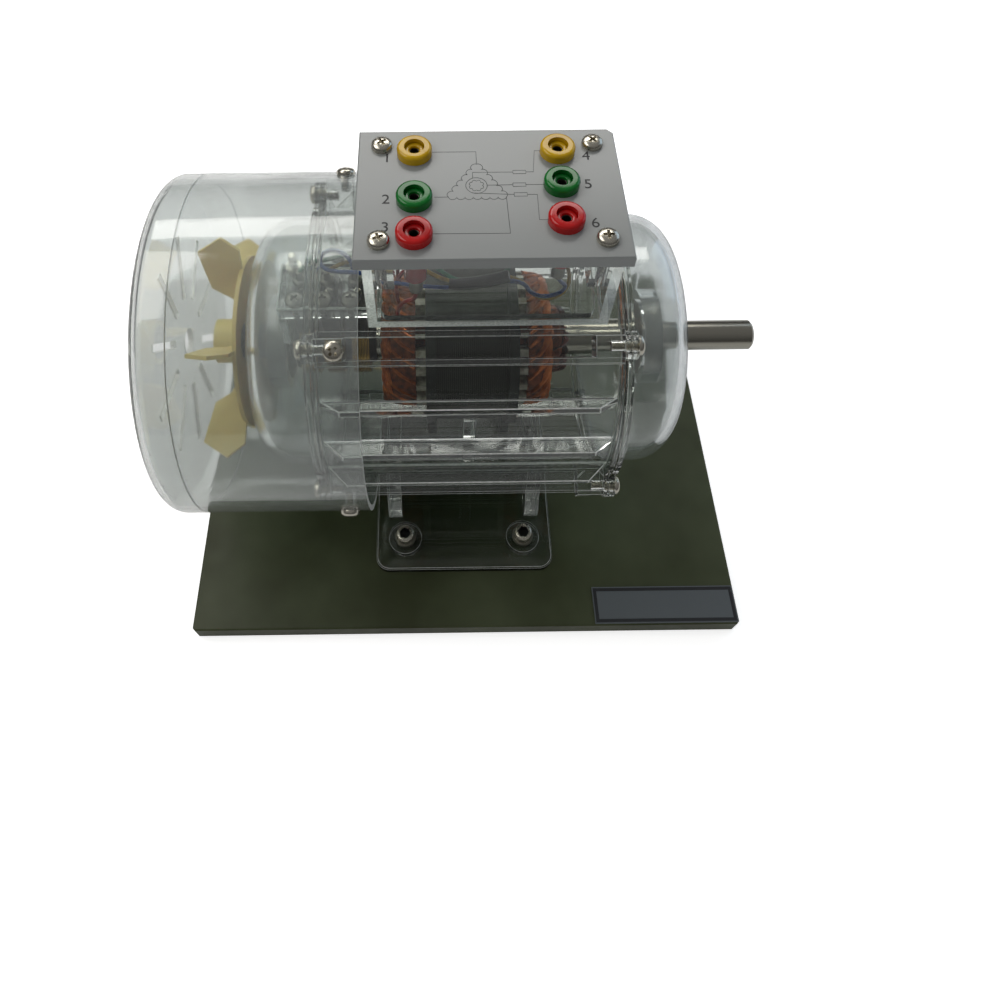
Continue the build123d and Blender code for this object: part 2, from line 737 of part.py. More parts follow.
with BuildPart() as fan_bush:
    with BuildSketch(across(fan_hub_left)):
        Circle(bush_radius)
        Circle(fan_seat_radius, mode=Mode.SUBTRACT)
    extrude(amount=bush_right - fan_hub_left)
save(fan_bush, "fan_bush")

# --- brush gear ---------------------------------------------------------------------------

bar_left_x, bar_right_x, bar_front, bar_back = -bearing_inner_x, -46, -15, 13
bar_under, bar_thickness, bar_edge = axis_height + 42, 8, 0.6
bar_top = bar_under + bar_thickness
bar_middle_y = (bar_front + bar_back) / 2
bracket_thickness, bracket_foot = 4, axis_height + bearing_outside / 2
holder_width, holder_depth, holder_foot = 9, 20, axis_height + 21
brush_width, brush_depth, brush_height, brush_play = 5, 10, 16, 0.2
ring_clearance, brush_wrap = 0.05, 2
spring_outside, spring_inside = 4, 2.6

with BuildPart() as brush_bar:
    with BuildSketch(Plane.XY.offset(bar_under)):
        with Locations(((bar_left_x + bar_right_x) / 2, bar_middle_y)):
            Rectangle(bar_right_x - bar_left_x, bar_back - bar_front)
    extrude(amount=bar_thickness)
    chamfer(brush_bar.faces().sort_by(Axis.Z)[-1].edges(), bar_edge)
save(brush_bar, "brush_bar")

with BuildPart() as bar_bracket:
    with BuildSketch(Plane.XY.offset(bracket_foot)):
        with Locations((bar_left_x + bracket_thickness / 2, bar_middle_y)):
            Rectangle(bracket_thickness, bar_back - bar_front)
    extrude(amount=bar_under - bracket_foot)
save(bar_bracket, "bar_bracket")

with BuildPart() as brush_holders:
    for place in ring_places:
        with BuildSketch(Plane.XY.offset(holder_foot)):
            with Locations((place, 0)):
                Rectangle(holder_width, holder_depth)
                Rectangle(brush_width + 2 * brush_play, brush_depth + 2 * brush_play, mode=Mode.SUBTRACT)
        extrude(amount=bar_under - holder_foot)
save(brush_holders, "brush_holders")

brush_foot = axis_height + ring_radius - brush_wrap
for number, place in enumerate(ring_places, start=1):
    with BuildPart() as brush:
        with BuildSketch(Plane.XY.offset(brush_foot)):
            with Locations((place, 0)):
                Rectangle(brush_width, brush_depth)
        extrude(amount=brush_height)
        with BuildSketch(across(place - ring_width / 2)):
            Circle(ring_radius + ring_clearance)
        extrude(amount=ring_width, mode=Mode.SUBTRACT)
    save(brush, f"brush_{number}")

    with BuildPart() as brush_spring:
        with BuildSketch(Plane.XY.offset(brush_foot + brush_height)):
            with Locations((place, 0)):
                Circle(spring_outside / 2)
                Circle(spring_inside / 2, mode=Mode.SUBTRACT)
        extrude(amount=bar_under - brush_foot - brush_height)
    save(brush_spring, f"brush_spring_{number}")

holder_screw_diameter, holder_screw_height, holder_screw_taper = 9.3, 2.4, 12
holder_screw_shift, holder_screw_y = -2, -10
cap_across, cap_height, cap_y = 6.5, 4, 1
with BuildPart() as holder_caps:
    for place in ring_places:
        with BuildSketch(Plane.XY.offset(bar_top)):
            with Locations((place + holder_screw_shift, holder_screw_y)):
                Circle(holder_screw_diameter / 2)
        extrude(amount=holder_screw_height, taper=holder_screw_taper)
        with BuildSketch(Plane.XY.offset(bar_top)):
            with Locations((place, cap_y)):
                RegularPolygon(cap_across / 2, 6, major_radius=False)
        extrude(amount=cap_height)
save(holder_caps, "holder_caps")

post_x, post_y, post_radius, post_height = -84.5, 8.5, 2, 10.5
post_nut_across, post_nut_height = 7, 3
with BuildPart() as bar_terminal:
    with BuildSketch(Plane.XY.offset(bar_top)):
        with Locations((post_x, post_y)):
            RegularPolygon(post_nut_across / 2, 6, major_radius=False)
    extrude(amount=post_nut_height)
    with BuildSketch(Plane.XY.offset(bar_top)):
        with Locations((post_x, post_y)):
            Circle(post_radius)
    extrude(amount=post_height)
save(bar_terminal, "bar_terminal")

# --- leads --------------------------------------------------------------------------------

winding_grip = 1
cap_top = bar_top + cap_height
winding_exit_x = -33


def winding_top(y):
    """Height inside the left stator winding head, a little below its round outside, at y."""
    return axis_height + sqrt(coil_outer**2 - y**2) - winding_grip


# From the left stator winding head up to the three stator sockets.
stator_routes = (
    (
        (winding_exit_x, -14, winding_top(-14)),
        (-34, -15, 168),
        (-29, -20, 184),
        (stator_socket_x, -24.5, 190.5),
        (stator_socket_x, -24.5, contact_foot),
    ),
    (
        (winding_exit_x, -2, winding_top(-2)),
        (-35, -2.5, 171),
        (-30, -4, 186),
        (stator_socket_x, -4.5, 191),
        (stator_socket_x, -4.5, contact_foot),
    ),
    (
        (winding_exit_x, 12, winding_top(12)),
        (-35, 14, 169),
        (-30, 19, 184),
        (stator_socket_x, 23, 190.5),
        (stator_socket_x, 23, contact_foot),
    ),
)
# From the three rotor sockets down in a slack loop each, then side by side through the case to the
# caps of the brush holders.
rotor_routes = (
    (
        (rotor_socket_x, -17.5, contact_foot),
        (41, -17, 193.5),
        (46, -14, 186),
        (45, -11, 176),
        (38, -10, 171),
        (30.5, -10.3, 174.5),
        (27, -10, 183),
        (18, -11.4, 187.1),
        (8, -11.8, 183.7),
        (-4, -11.4, 181.4),
        (-16, -10.5, 181),
        (-30, -9, 181.5),
        (-42, -5.5, 180.5),
        (-53, -3.5, 180),
        (-63, -3.3, 179.8),
        (-69, -0.8, 180.2),
        (-70.6, 4.8, 180.6),
        (-66.3, 9, 181),
        (-60, 8.2, 180.6),
        (-55.8, 5, 178.6),
        (ring_places[2], cap_y, 174.5),
        (ring_places[2], cap_y, cap_top),
    ),
    (
        (rotor_socket_x, 3, contact_foot),
        (41, 2, 193.5),
        (47, -1, 186.5),
        (50, -5, 178),
        (46, -8, 169),
        (38, -7.5, 165.5),
        (31, -6.5, 170),
        (28, -6.8, 178.5),
        (18, -8.6, 187.1),
        (8, -9, 183.7),
        (-4, -8.6, 181.4),
        (-13, -5, 181),
        (-22, 1, 181.2),
        (-34, 5, 180),
        (-47, 6.3, 177.5),
        (-58, 5.8, 176),
        (-64, 3.2, 175.5),
        (ring_places[1], cap_y, 174),
        (ring_places[1], cap_y, cap_top),
    ),
    (
        (rotor_socket_x, 23, contact_foot),
        (39.5, 22.5, 193),
        (34, 17, 188),
        (27, 6, 190),
        (18, -10, 189.4),
        (8, -10.4, 186),
        (-4, -10, 183.7),
        (-14, -2, 184.5),
        (-24, 6.5, 183.5),
        (-36, 10, 180.5),
        (-50, 9.5, 177.5),
        (-62, 8.5, 176.5),
        (-73, 5.5, 176),
        (-78, 3, 175.7),
        (ring_places[0], cap_y, 174),
        (ring_places[0], cap_y, cap_top),
    ),
)


def bend_radii(route):
    """Radius of the arc at each inner point of a route, as large as its two runs allow."""
    points = [Vector(*point) for point in route]
    radii = []
    for before, corner, after in zip(points, points[1:], points[2:]):
        arriving, leaving = corner - before, after - corner
        half_turn = radians(arriving.get_angle(leaving)) / 2
        radii.append(0.45 * min(arriving.length, leaving.length) / tan(half_turn))
    return radii


for name, routes in (("stator_leads", stator_routes), ("rotor_leads", rotor_routes)):
    lead_lengths = 0
    with BuildPart() as leads:
        for route in routes:
            radii = bend_radii(route)
            with BuildLine() as run:
                FilletPolyline(*route, radius=radii)
            path = run.wire()
            with BuildSketch(Plane(origin=route[0], z_dir=path % 0)):
                Circle(lead_diameter / 2)
            sweep(path=path)
            lead_lengths += path.length
            print(name, "radii", [round(radius, 1) for radius in radii], "length", round(path.length, 1))
    section = pi * (lead_diameter / 2) ** 2
    print(name, "volume", round(leads.part.volume, 1), "expected", round(section * lead_lengths, 1))
    save(leads, name)
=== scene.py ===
"""Looks of a see-through demonstration motor: clear case, windings, fan, terminal box and board.

Sizes are in millimetres unless a name says otherwise. Angles round the shaft are counted from the top
toward the front, so 90 is the side that faces the label.
"""

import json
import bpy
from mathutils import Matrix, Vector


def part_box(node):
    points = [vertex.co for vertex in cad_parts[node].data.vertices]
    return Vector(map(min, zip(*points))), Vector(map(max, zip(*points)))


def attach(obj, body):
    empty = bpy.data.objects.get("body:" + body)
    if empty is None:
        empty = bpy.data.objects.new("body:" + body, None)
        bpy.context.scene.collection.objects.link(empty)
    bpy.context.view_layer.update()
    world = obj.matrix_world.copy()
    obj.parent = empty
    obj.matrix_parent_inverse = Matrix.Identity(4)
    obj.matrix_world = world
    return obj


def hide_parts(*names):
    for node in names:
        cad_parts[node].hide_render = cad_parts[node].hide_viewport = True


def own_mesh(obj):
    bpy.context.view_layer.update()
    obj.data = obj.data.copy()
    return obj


bl_info = {
    "name": "See-through demonstration motor",
    "version": (1, 0, 0),
    "blender": (4, 5, 0),
    "location": "3D View > Sidebar > Motor",
    "description": "Builds the clear case, windings, fan, terminal box and board of a teaching motor",
    "category": "Add Mesh",
}

from math import cos, pi, radians, sin, sqrt

import bmesh
import bpy
from mathutils import Matrix, Vector

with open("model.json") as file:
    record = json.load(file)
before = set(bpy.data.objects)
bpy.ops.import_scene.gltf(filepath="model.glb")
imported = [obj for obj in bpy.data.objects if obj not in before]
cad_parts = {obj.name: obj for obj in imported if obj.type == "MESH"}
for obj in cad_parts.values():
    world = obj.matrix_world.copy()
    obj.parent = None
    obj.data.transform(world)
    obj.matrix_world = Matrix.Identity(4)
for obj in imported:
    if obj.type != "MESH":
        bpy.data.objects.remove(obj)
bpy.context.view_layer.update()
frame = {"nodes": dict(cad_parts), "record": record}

MM = 0.001
UP, AHEAD = Vector((0, 0, 1)), Vector((1, 0, 0))
SIDES = ("left", "right")


def low(node, axis):
    """Lowest reach of a frame node along an axis, in millimetres."""
    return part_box(node)[0][axis] / MM


def high(node, axis):
    """Highest reach of a frame node along an axis, in millimetres."""
    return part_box(node)[1][axis] / MM


def midway(node, axis):
    """Middle of a frame node along an axis, in millimetres."""
    return (low(node, axis) + high(node, axis)) / 2


AXIS_Z = round(midway("shaft", 2), 1)
CASE_RADIUS = (high("housing_tube", 1) - low("housing_tube", 1)) / 2
COWL_RADIUS = (high("fan_cowl", 1) - low("fan_cowl", 1)) / 2
PLATE_TOP = high("terminal_plate", 2)
BAR_TOP = high("brush_bar", 2)
LUG_COUNT, LUG_HOLE_CIRCLE = 5, 79
RING_PLACES = (-81, -67.5, -54)


def round_shaft(angle, radius, x):
    """The point at an angle in radians and a distance from the shaft axis."""
    return Vector((x, -radius * sin(angle), AXIS_Z + radius * cos(angle)))


def outward(angle):
    """Direction away from the shaft at an angle in radians."""
    return Vector((0, -sin(angle), cos(angle)))


LUG_ANGLES = [pi - step * 2 * pi / LUG_COUNT for step in range(LUG_COUNT)]


# --- colours and nodes ----------------------------------------------------------------------------


def linear(colour):
    """Turns an sRGB hex colour into the linear values that a shader reads, and leaves those as they are."""
    if not isinstance(colour, str):
        return tuple(colour)
    steps = [int(colour[at : at + 2], 16) / 255 for at in (0, 2, 4)]
    return tuple(v / 12.92 if v <= 0.04045 else ((v + 0.055) / 1.055) ** 2.4 for v in steps) + (1.0,)


def add(tree, kind, settings=None, inputs=None):
    """Adds a node with its settings, and its inputs as plain values or as links from other sockets."""
    node = tree.nodes.new(kind)
    for name, value in (settings or {}).items():
        setattr(node, name, value)
    for name, value in (inputs or {}).items():
        if isinstance(value, bpy.types.NodeSocket):
            tree.links.new(value, node.inputs[name])
        else:
            node.inputs[name].default_value = value
    return node


def any_of(tree, *names):
    """1 for a ray of any of the named kinds of the Light Path node, else 0."""
    paths = add(tree, "ShaderNodeLightPath")
    seen = paths.outputs[names[0]]
    for name in names[1:]:
        either = add(tree, "ShaderNodeMath", {"operation": "MAXIMUM"}, {0: seen, 1: paths.outputs[name]})
        seen = either.outputs[0]
    return seen


def grain(size_mm, detail=3.0, stretch=(1, 1, 1)):
    """Pattern in patches of about size_mm, finer along the axes that are stretched."""
    return "ShaderNodeTexNoise", stretch, {"Scale": 1 / (size_mm * MM), "Detail": detail}


def rings(pitch_mm, distortion):
    """Pattern of even rings round the shaft. A wave texture repeats every pi / 10 of its scale."""
    return "ShaderNodeTexWave", (1, 1, 1), {"Scale": pi / 10 / (pitch_mm * MM), "Distortion": distortion}


def make_finish(name, colour, roughness, sockets=None, blend=None, gloss=None, relief=None, film=None):
    """A material with one Principled shader, its plain values on the shader's own sockets.

    blend: a pattern, two colours and the two values of the pattern at which they are reached.
    gloss: a pattern and two roughnesses. relief: a pattern, its depth in millimetres and its strength.
    film: tint of the lamp light that passes a clear wall, as it does through a thin real one.
    """
    material = bpy.data.materials.new(name)
    material.use_nodes = True
    tree = material.node_tree
    tree.nodes.clear()
    plain = {"Base Color": linear(colour), "Roughness": roughness, **(sockets or {})}
    shader = add(tree, "ShaderNodeBsdfPrincipled", {}, plain)
    surface = shader.outputs[0]

    def value_of(pattern):
        """Output of a pattern's texture, which reads the piece's own coordinates."""
        kind, stretch, inputs = pattern
        place = add(tree, "ShaderNodeTexCoord").outputs["Object"]
        place = add(tree, "ShaderNodeMapping", {}, {"Vector": place, "Scale": stretch}).outputs[0]
        return add(tree, kind, {}, {"Vector": place, **inputs}).outputs["Fac"]

    if blend:
        pattern, first, second, *ends = blend
        ramp = add(tree, "ShaderNodeValToRGB", {}, {"Fac": value_of(pattern)})
        for element, position, shade in zip(ramp.color_ramp.elements, ends or (0.35, 0.65), (first, second)):
            element.position, element.color = position, linear(shade)
        tree.links.new(ramp.outputs["Color"], shader.inputs["Base Color"])
    if gloss:
        pattern, least, most = gloss
        span = {"Value": value_of(pattern), "To Min": least, "To Max": most}
        tree.links.new(add(tree, "ShaderNodeMapRange", {}, span).outputs[0], shader.inputs["Roughness"])
    if relief:
        pattern, depth_mm, strength = relief
        bump = {"Height": value_of(pattern), "Distance": depth_mm * MM, "Strength": strength}
        tree.links.new(add(tree, "ShaderNodeBump", {}, bump).outputs[0], shader.inputs["Normal"])
    if film:
        clear = add(tree, "ShaderNodeBsdfTransparent", {}, {"Color": linear(film)})
        shares = {0: any_of(tree, "Is Shadow Ray"), 1: surface, 2: clear.outputs[0]}
        surface = add(tree, "ShaderNodeMixShader", {}, shares).outputs[0]
    add(tree, "ShaderNodeOutputMaterial", {}, {"Surface": surface})
    return material


# --- finishes -------------------------------------------------------------------------------------


def acrylic(transmission, specular=0.5):
    """Plain values of acrylic that lets that share of the light through."""
    return {"IOR": 1.49, "Transmission Weight": transmission, "Specular IOR Level": specular}


def metal(share=1.0):
    """Plain values of bare metal, or of metal under varnish where the share is lower."""
    return {"Metallic": share}


FINISHES = {
    # Cast acrylic tube and sheet: glass clear, polished, with the faint waviness of a cast wall.
    "cast_acrylic": dict(colour="F3F5F3", roughness=0.02, sockets=acrylic(1.0, 0.35),
                         relief=(grain(22, 1.0), 0.3, 0.3), film="E4E9E6"),
    # Blow-formed bells and cowl: clear, with longer waves and a faint haze from the mould.
    "moulded_acrylic": dict(colour="F0F3F2", roughness=0.05, sockets=acrylic(0.94, 0.4),
                            gloss=(grain(14), 0.02, 0.1), relief=(grain(34, 1.5), 0.8, 0.35), film="E1E6E4"),
    # Edges of sheets that are glued face to face: clear, with the straw tint of the cement.
    "glued_acrylic": dict(colour="F0EDE0", roughness=0.1, sockets=acrylic(0.95, 0.4),
                          gloss=(grain(6), 0.04, 0.16), relief=(grain(8, 2.0), 0.2, 0.3), film="CFCFC2"),
    # Edges left from the saw: frosted and chipped, so they catch light and read as a bright line.
    "sawn_acrylic": dict(colour="DDE0DC", roughness=0.35, sockets=acrylic(0.35),
                         blend=(grain(0.9, 4.0), "C6C9C5", "FCFCFA", 0.35, 0.6),
                         gloss=(grain(1.2, 4.0), 0.25, 0.6), relief=(grain(0.8), 0.2, 0.6), film="B9BFBB"),
    # Opal acrylic sheet: white, painted mid grey as the shade that it lies in, with a soft gloss on top.
    "opal_acrylic": dict(colour="7C7F7E", roughness=0.24, sockets={"IOR": 1.49},
                         blend=(grain(60, 1.0), "7A7D7C", "828584", 0.0, 1.0),
                         gloss=(grain(2, 2.0), 0.22, 0.28)),
    # Dark olive laminate on board: satin, with a fine leathery press grain and rub marks.
    "board_laminate": dict(colour="343A20", roughness=0.42, sockets={"IOR": 1.5, "Specular IOR Level": 0.3},
                           blend=(grain(60), "2F341A", "424830"), gloss=(grain(9, 5.0), 0.34, 0.52),
                           relief=(grain(0.9, 2.0), 0.05, 0.4)),
    # Satin printed label stock: cool grey with a fine draw line.
    "label_field": dict(colour="54595C", roughness=0.4, sockets=metal(0.15),
                        gloss=(grain(5, 4.0), 0.34, 0.5), relief=(grain(0.6, 2.0, (1, 12, 1)), 0.02, 0.3)),
    # Screen print: matt black that sits on the sheet.
    "black_ink": dict(colour="17171A", roughness=0.55, gloss=(grain(2), 0.45, 0.65)),
    # Nickel plated screws: warm bright metal with driver rub.
    "nickel_plate": dict(colour="C4BFB2", roughness=0.24, sockets=metal(),
                         gloss=(grain(1.5, 4.0), 0.14, 0.36)),
    # Drawn washers, nuts and contacts: darker oiled steel, a little rougher than plate.
    "drawn_steel": dict(colour="85837A", roughness=0.32, sockets=metal(),
                        gloss=(grain(1.8, 4.0), 0.24, 0.46)),
    # Inside of a bolt's hexagonal socket: near black as painted shade of the recess, with a dull oily shine.
    "black_oxide": dict(colour="0E0E0D", roughness=0.6, gloss=(grain(1), 0.5, 0.7)),
    # Ground shaft steel: fine rings round the shaft from grinding, drawn three times too coarse.
    "ground_steel": dict(colour="A09D92", roughness=0.24, sockets=metal(),
                         gloss=(rings(0.9, 0.4), 0.21, 0.25)),
    # Bearing rings and pressed shields: satin grey steel with a film of grease.
    "race_steel": dict(colour="857F74", roughness=0.4, sockets=metal(), gloss=(grain(2), 0.32, 0.5)),
    # Half-millimetre electrical sheets, blued and varnished, stacked along the shaft. Drawn at 1 mm.
    "stacked_laminations": dict(colour="24261F", roughness=0.45, sockets=metal(0.5),
                                blend=(rings(1.0, 0.3), "191B17", "35372F", 0.2, 0.9),
                                relief=(rings(1.0, 0.3), 0.08, 0.5)),
    # Thick stator end plates of cut steel: dark grey varnish, worn to a patchy satin.
    "varnished_steel": dict(colour="20231F", roughness=0.42, sockets=metal(0.2),
                            blend=(grain(12), "1C1F19", "2C2F2A"), gloss=(grain(3, 4.0), 0.34, 0.55)),
    # Off-white slot insulation, stained by varnish where it meets the copper.
    "slot_paper": dict(colour="B9B4A4", roughness=0.6, blend=(grain(4), "94897A", "CFCBBD")),
    # Enamelled copper wire: orange where light falls, deep red-brown in the gaps.
    "enamelled_copper": dict(colour="A9562B", roughness=0.3, sockets=metal(0.8),
                             blend=(grain(6), "7E3B1C", "CC7A45", 0.3, 0.7), gloss=(grain(2), 0.22, 0.42)),
    # Copper ring inside a winding head, darker than the wire as painted shade: dull red-brown between the
    # bundles.
    "soaked_copper": dict(colour="6A321A", roughness=0.5, sockets=metal(0.3),
                          blend=(grain(3), "4A2110", "83421F")),
    # Rotor wire under dark brown varnish, glossy on the high spots.
    "varnished_wire": dict(colour="43201A", roughness=0.26, sockets={**metal(0.35), "Coat Weight": 0.5},
                           blend=(grain(4, 4.0), "2C120D", "6A3324")),
    # Slip rings of brass, turned and then polished by the brushes.
    "turned_brass": dict(colour="A88A52", roughness=0.25, sockets=metal(),
                         gloss=(rings(0.8, 0.8), 0.16, 0.36), relief=(rings(0.8, 0.8), 0.03, 0.3)),
    # Moulded phenolic insulation: near black, dusty in the corners.
    "dark_phenolic": dict(colour="1F1E1C", roughness=0.42, blend=(grain(3), "181817", "2A2926"),
                          gloss=(grain(2), 0.34, 0.55)),
    # Pressed carbon: black and grainy, greyed where it wears.
    "carbon_brush": dict(colour="1B1B1C", roughness=0.5, blend=(grain(0.8), "141415", "2B2B2C")),
    # Cream plastic gone ochre with age, thin enough to glow a little.
    "moulded_cream": dict(colour="C2AA5E", roughness=0.4, sockets={"IOR": 1.5, "Subsurface Weight": 0.1},
                          blend=(grain(30), "B69E52", "CEB86E"), gloss=(grain(4, 4.0), 0.36, 0.52),
                          relief=(grain(3, 2.0), 0.08, 0.3)),
}


def gloss_plastic(colour, shade):
    """Injection moulded shroud: strong even colour under a gloss."""
    return dict(colour=colour, roughness=0.14, sockets={"IOR": 1.5, "Specular IOR Level": 0.4},
                blend=(grain(8), shade, colour, 0.3, 0.6), gloss=(grain(1.5), 0.1, 0.18))


def wire_sleeve(colour, shade):
    """Soft vinyl insulation on a flexible lead."""
    return dict(colour=colour, roughness=0.35, sockets={"IOR": 1.5}, blend=(grain(5), shade, colour))


COLOURED_FINISHES = {
    "shroud_yellow": (gloss_plastic, "B8930C", "A07C08"),
    "shroud_green": (gloss_plastic, "0A6422", "065019"),
    "shroud_red": (gloss_plastic, "A81414", "8C0E10"),
    "wire_red": (wire_sleeve, "9A1A1E", "761014"),
    "wire_blue": (wire_sleeve, "20478E", "16346A"),
    "wire_yellow": (wire_sleeve, "A9860E", "826408"),
    "wire_green": (wire_sleeve, "2A785C", "1C5E46"),
    "wire_black": (wire_sleeve, "141617", "0C0D0E"),
}
MADE = {}


def coloured(name):
    """What a coloured finish is made of, with the user's colour and a shade as much darker as its own."""
    maker, colour, shade = COLOURED_FINISHES[name]
    chosen = getattr(bpy.context.scene.motor_colours, name)
    darker = [value * dark / full for value, dark, full in zip(chosen, linear(shade), linear(colour))]
    return maker(chosen, darker)


def finish(name):
    """The material of that name, made the first time that it is asked for."""
    if name not in MADE:
        MADE[name] = make_finish(name, **(FINISHES.get(name) or coloured(name)))
    return MADE[name]


# --- showing pieces -------------------------------------------------------------------------------

BODY_OF = {
    node: body for body, nodes in frame["record"]["behaviour"]["bodies"].items() for node in nodes
}


def link_object(name, data):
    """A new object in the scene, at the origin."""
    piece = bpy.data.objects.new(name, data)
    bpy.context.scene.collection.objects.link(piece)
    return piece


def show(mesh, node, stands_for=True):
    """Shows a finished mesh on the body of a frame node, in its place or else as trim on it."""
    piece = link_object(mesh.name, mesh)
    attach(piece, BODY_OF[node])
    if stands_for:
        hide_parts(node)
    return piece


CREASE, WIRE_CREASE, WELD = 32, 50, 0.002


def smooth(mesh, angle_degrees=CREASE):
    """Smooths a mesh except across the edges that bend more than the angle."""
    # Normals that came with a frame node's triangles no longer fit once those are joined.
    stale = mesh.attributes.get("custom_normal")
    if stale:
        mesh.attributes.remove(stale)
    mesh.shade_smooth()
    mesh.set_sharp_from_angle(angle=radians(angle_degrees))
    return mesh


def to_mesh(name, shape, *finishes):
    """Turns a shape in millimetres into a mesh in metres with its finishes."""
    bmesh.ops.transform(shape, matrix=Matrix.Scale(MM, 4), verts=shape.verts)
    mesh = bpy.data.meshes.new(name)
    shape.to_mesh(mesh)
    shape.free()
    for each in finishes:
        mesh.materials.append(finish(each))
    return smooth(mesh)


def node_shape(node):
    """The frame node's own shape in millimetres, its loose triangles joined."""
    shape = bmesh.new()
    shape.from_mesh(frame["nodes"][node].data)
    bmesh.ops.transform(shape, matrix=Matrix.Scale(1 / MM, 4), verts=shape.verts)
    bmesh.ops.remove_doubles(shape, verts=shape.verts, dist=WELD)
    shape.normal_update()
    return shape


SEE_THROUGH = ("cast_acrylic", "moulded_acrylic")
AIR_GAP, BRIGHT_EDGE, FAINT_EDGE = 0.03, 0.4, 0.12


def part_from_neighbours(shape):
    """Draws a clear shape in by a hair, so that it shares no face with what it rests on."""
    moves = [(vert, vert.normal * AIR_GAP) for vert in shape.verts]
    for vert, move in moves:
        vert.co -= move


def break_edges(shape, width):
    """Cuts a narrow flat along the sharp edges, with the second finish of the shape."""
    flat, corner = radians(1), radians(40)
    bmesh.ops.dissolve_limit(shape, angle_limit=flat, verts=shape.verts, edges=shape.edges)
    sharp = [edge for edge in shape.edges if edge.is_manifold and edge.calc_face_angle(0) > corner]
    bmesh.ops.bevel(shape, geom=sharp, offset=width, offset_type="OFFSET", segments=1, affect="EDGES",
                    clamp_overlap=True, material=1)
    bmesh.ops.triangulate(shape, faces=[face for face in shape.faces if len(face.verts) > 4])


def dress(node, face_finish, edge_finish=None, is_edge=None, edge=BRIGHT_EDGE):
    """Shows a node's own shape with a finish, and another one on its edges.

    The edges are the faces that is_edge picks, or without it a narrow flat along every sharp edge.
    """
    shape = node_shape(node)
    finishes = (face_finish, edge_finish) if edge_finish else (face_finish,)
    if face_finish in SEE_THROUGH:
        part_from_neighbours(shape)
    if is_edge:
        for face in shape.faces:
            face.material_index = int(is_edge(face.normal, face.calc_center_median()))
    elif edge_finish:
        break_edges(shape, edge)
    show(to_mesh(f"{node}_look", shape, *finishes), node)


def dress_sheets(*nodes, edge=BRIGHT_EDGE):
    """Shows pieces of clear sheet with sawn edges."""
    for node in nodes:
        dress(node, "cast_acrylic", "sawn_acrylic", edge=edge)


def from_shaft(place):
    """Distance of a place from the shaft axis."""
    return (place.yz - Vector((0, AXIS_Z))).length


# How far a face may lean and stray, and still count as an end, a cut or a slot's wall.
END_LEAN, WALL_LEAN, CUT_STRAY = 0.7, 0.2, 0.6


def tube_end(normal, middle):
    """True on the ends of a tube that lies along the shaft."""
    return abs(normal.x) > END_LEAN


def cut_to_case(normal, middle):
    """True where a wall is cut to the round of the case."""
    return abs(from_shaft(middle) - CASE_RADIUS) < CUT_STRAY and normal.z < 0


CAP_WALL, SLOT_REACH = 3.2, 60
SLOT_END = low("cowl_cap", 0) + CAP_WALL


def slot_wall(normal, middle):
    """True on the walls of the slots in the cowl's cap."""
    return middle.x < SLOT_END and abs(normal.x) < WALL_LEAN and from_shaft(middle) < SLOT_REACH


# --- shapes ---------------------------------------------------------------------------------------


def turned(profile, steps=40):
    """A solid turned round local Z from (radius, height) points; a radius of 0 closes an end."""
    shape = bmesh.new()
    angles = [2 * pi * step / steps for step in range(steps)]
    levels = []
    for radius, height in profile:
        around = angles if radius else angles[:1]
        levels.append([shape.verts.new((radius * cos(a), radius * sin(a), height)) for a in around])
    pairs = list(zip(levels, levels[1:]))
    if profile[0][0]:
        pairs.append((levels[-1], levels[0]))
    for lower, upper in pairs:
        for at in range(steps):
            after = (at + 1) % steps
            corners = [lower[at % len(lower)], lower[after % len(lower)],
                       upper[after % len(upper)], upper[at % len(upper)]]
            shape.faces.new(sorted(set(corners), key=corners.index))
    bmesh.ops.recalc_face_normals(shape, faces=shape.faces)
    return shape


def result_of(piece, name):
    """The plain mesh that an object shows with its modifiers. The object is then removed."""
    depsgraph = bpy.context.evaluated_depsgraph_get()
    depsgraph.update()
    mesh = bpy.data.meshes.new_from_object(piece.evaluated_get(depsgraph))
    mesh.name = name
    piece.modifiers.clear()
    bpy.data.objects.remove(piece)
    return mesh


def carve(shape, tool):
    """Cuts the tool out of a shape and returns the rest; both are used up."""
    pieces = []
    for name, solid in (("blank", shape), ("cutter", tool)):
        mesh = bpy.data.meshes.new(name)
        solid.to_mesh(mesh)
        solid.free()
        pieces.append(link_object(name, mesh))
    blank, cutter = pieces
    cut = blank.modifiers.new("cut", "BOOLEAN")
    cut.object, cut.operation, cut.solver, cut.use_self = cutter, "DIFFERENCE", "EXACT", True
    left = bmesh.new()
    left.from_mesh(result_of(blank, "carved"))
    bpy.data.objects.remove(cutter)
    return left


def wire_curve(name, paths, thickness, straight=False, sides=1):
    """A curve object of round wires along paths in millimetres, each path a spline of its own."""
    curve = bpy.data.curves.new(name, "CURVE")
    curve.dimensions = "3D"
    curve.bevel_depth = thickness / 2 * MM
    curve.bevel_resolution = sides
    curve.resolution_u = 3
    curve.use_fill_caps = True
    for path in paths:
        spline = curve.splines.new("POLY" if straight else "NURBS")
        spline.points.add(len(path) - 1)
        for point, place in zip(spline.points, path):
            point.co = (*(Vector(place) * MM), 1)
        if not straight:
            spline.order_u = 3
            spline.use_endpoint_u = True
    return link_object(name, curve)


def wires(name, paths, thickness, *finishes, **options):
    """A mesh of round wires; where there are several finishes, each path has its own."""
    piece = wire_curve(name, paths, thickness, **options)
    for each in finishes:
        piece.data.materials.append(finish(each))
    for number, spline in enumerate(piece.data.splines):
        spline.material_index = min(number, len(finishes) - 1)
    return smooth(result_of(piece, name), WIRE_CREASE)


# --- repeating pieces with geometry nodes ---------------------------------------------------------


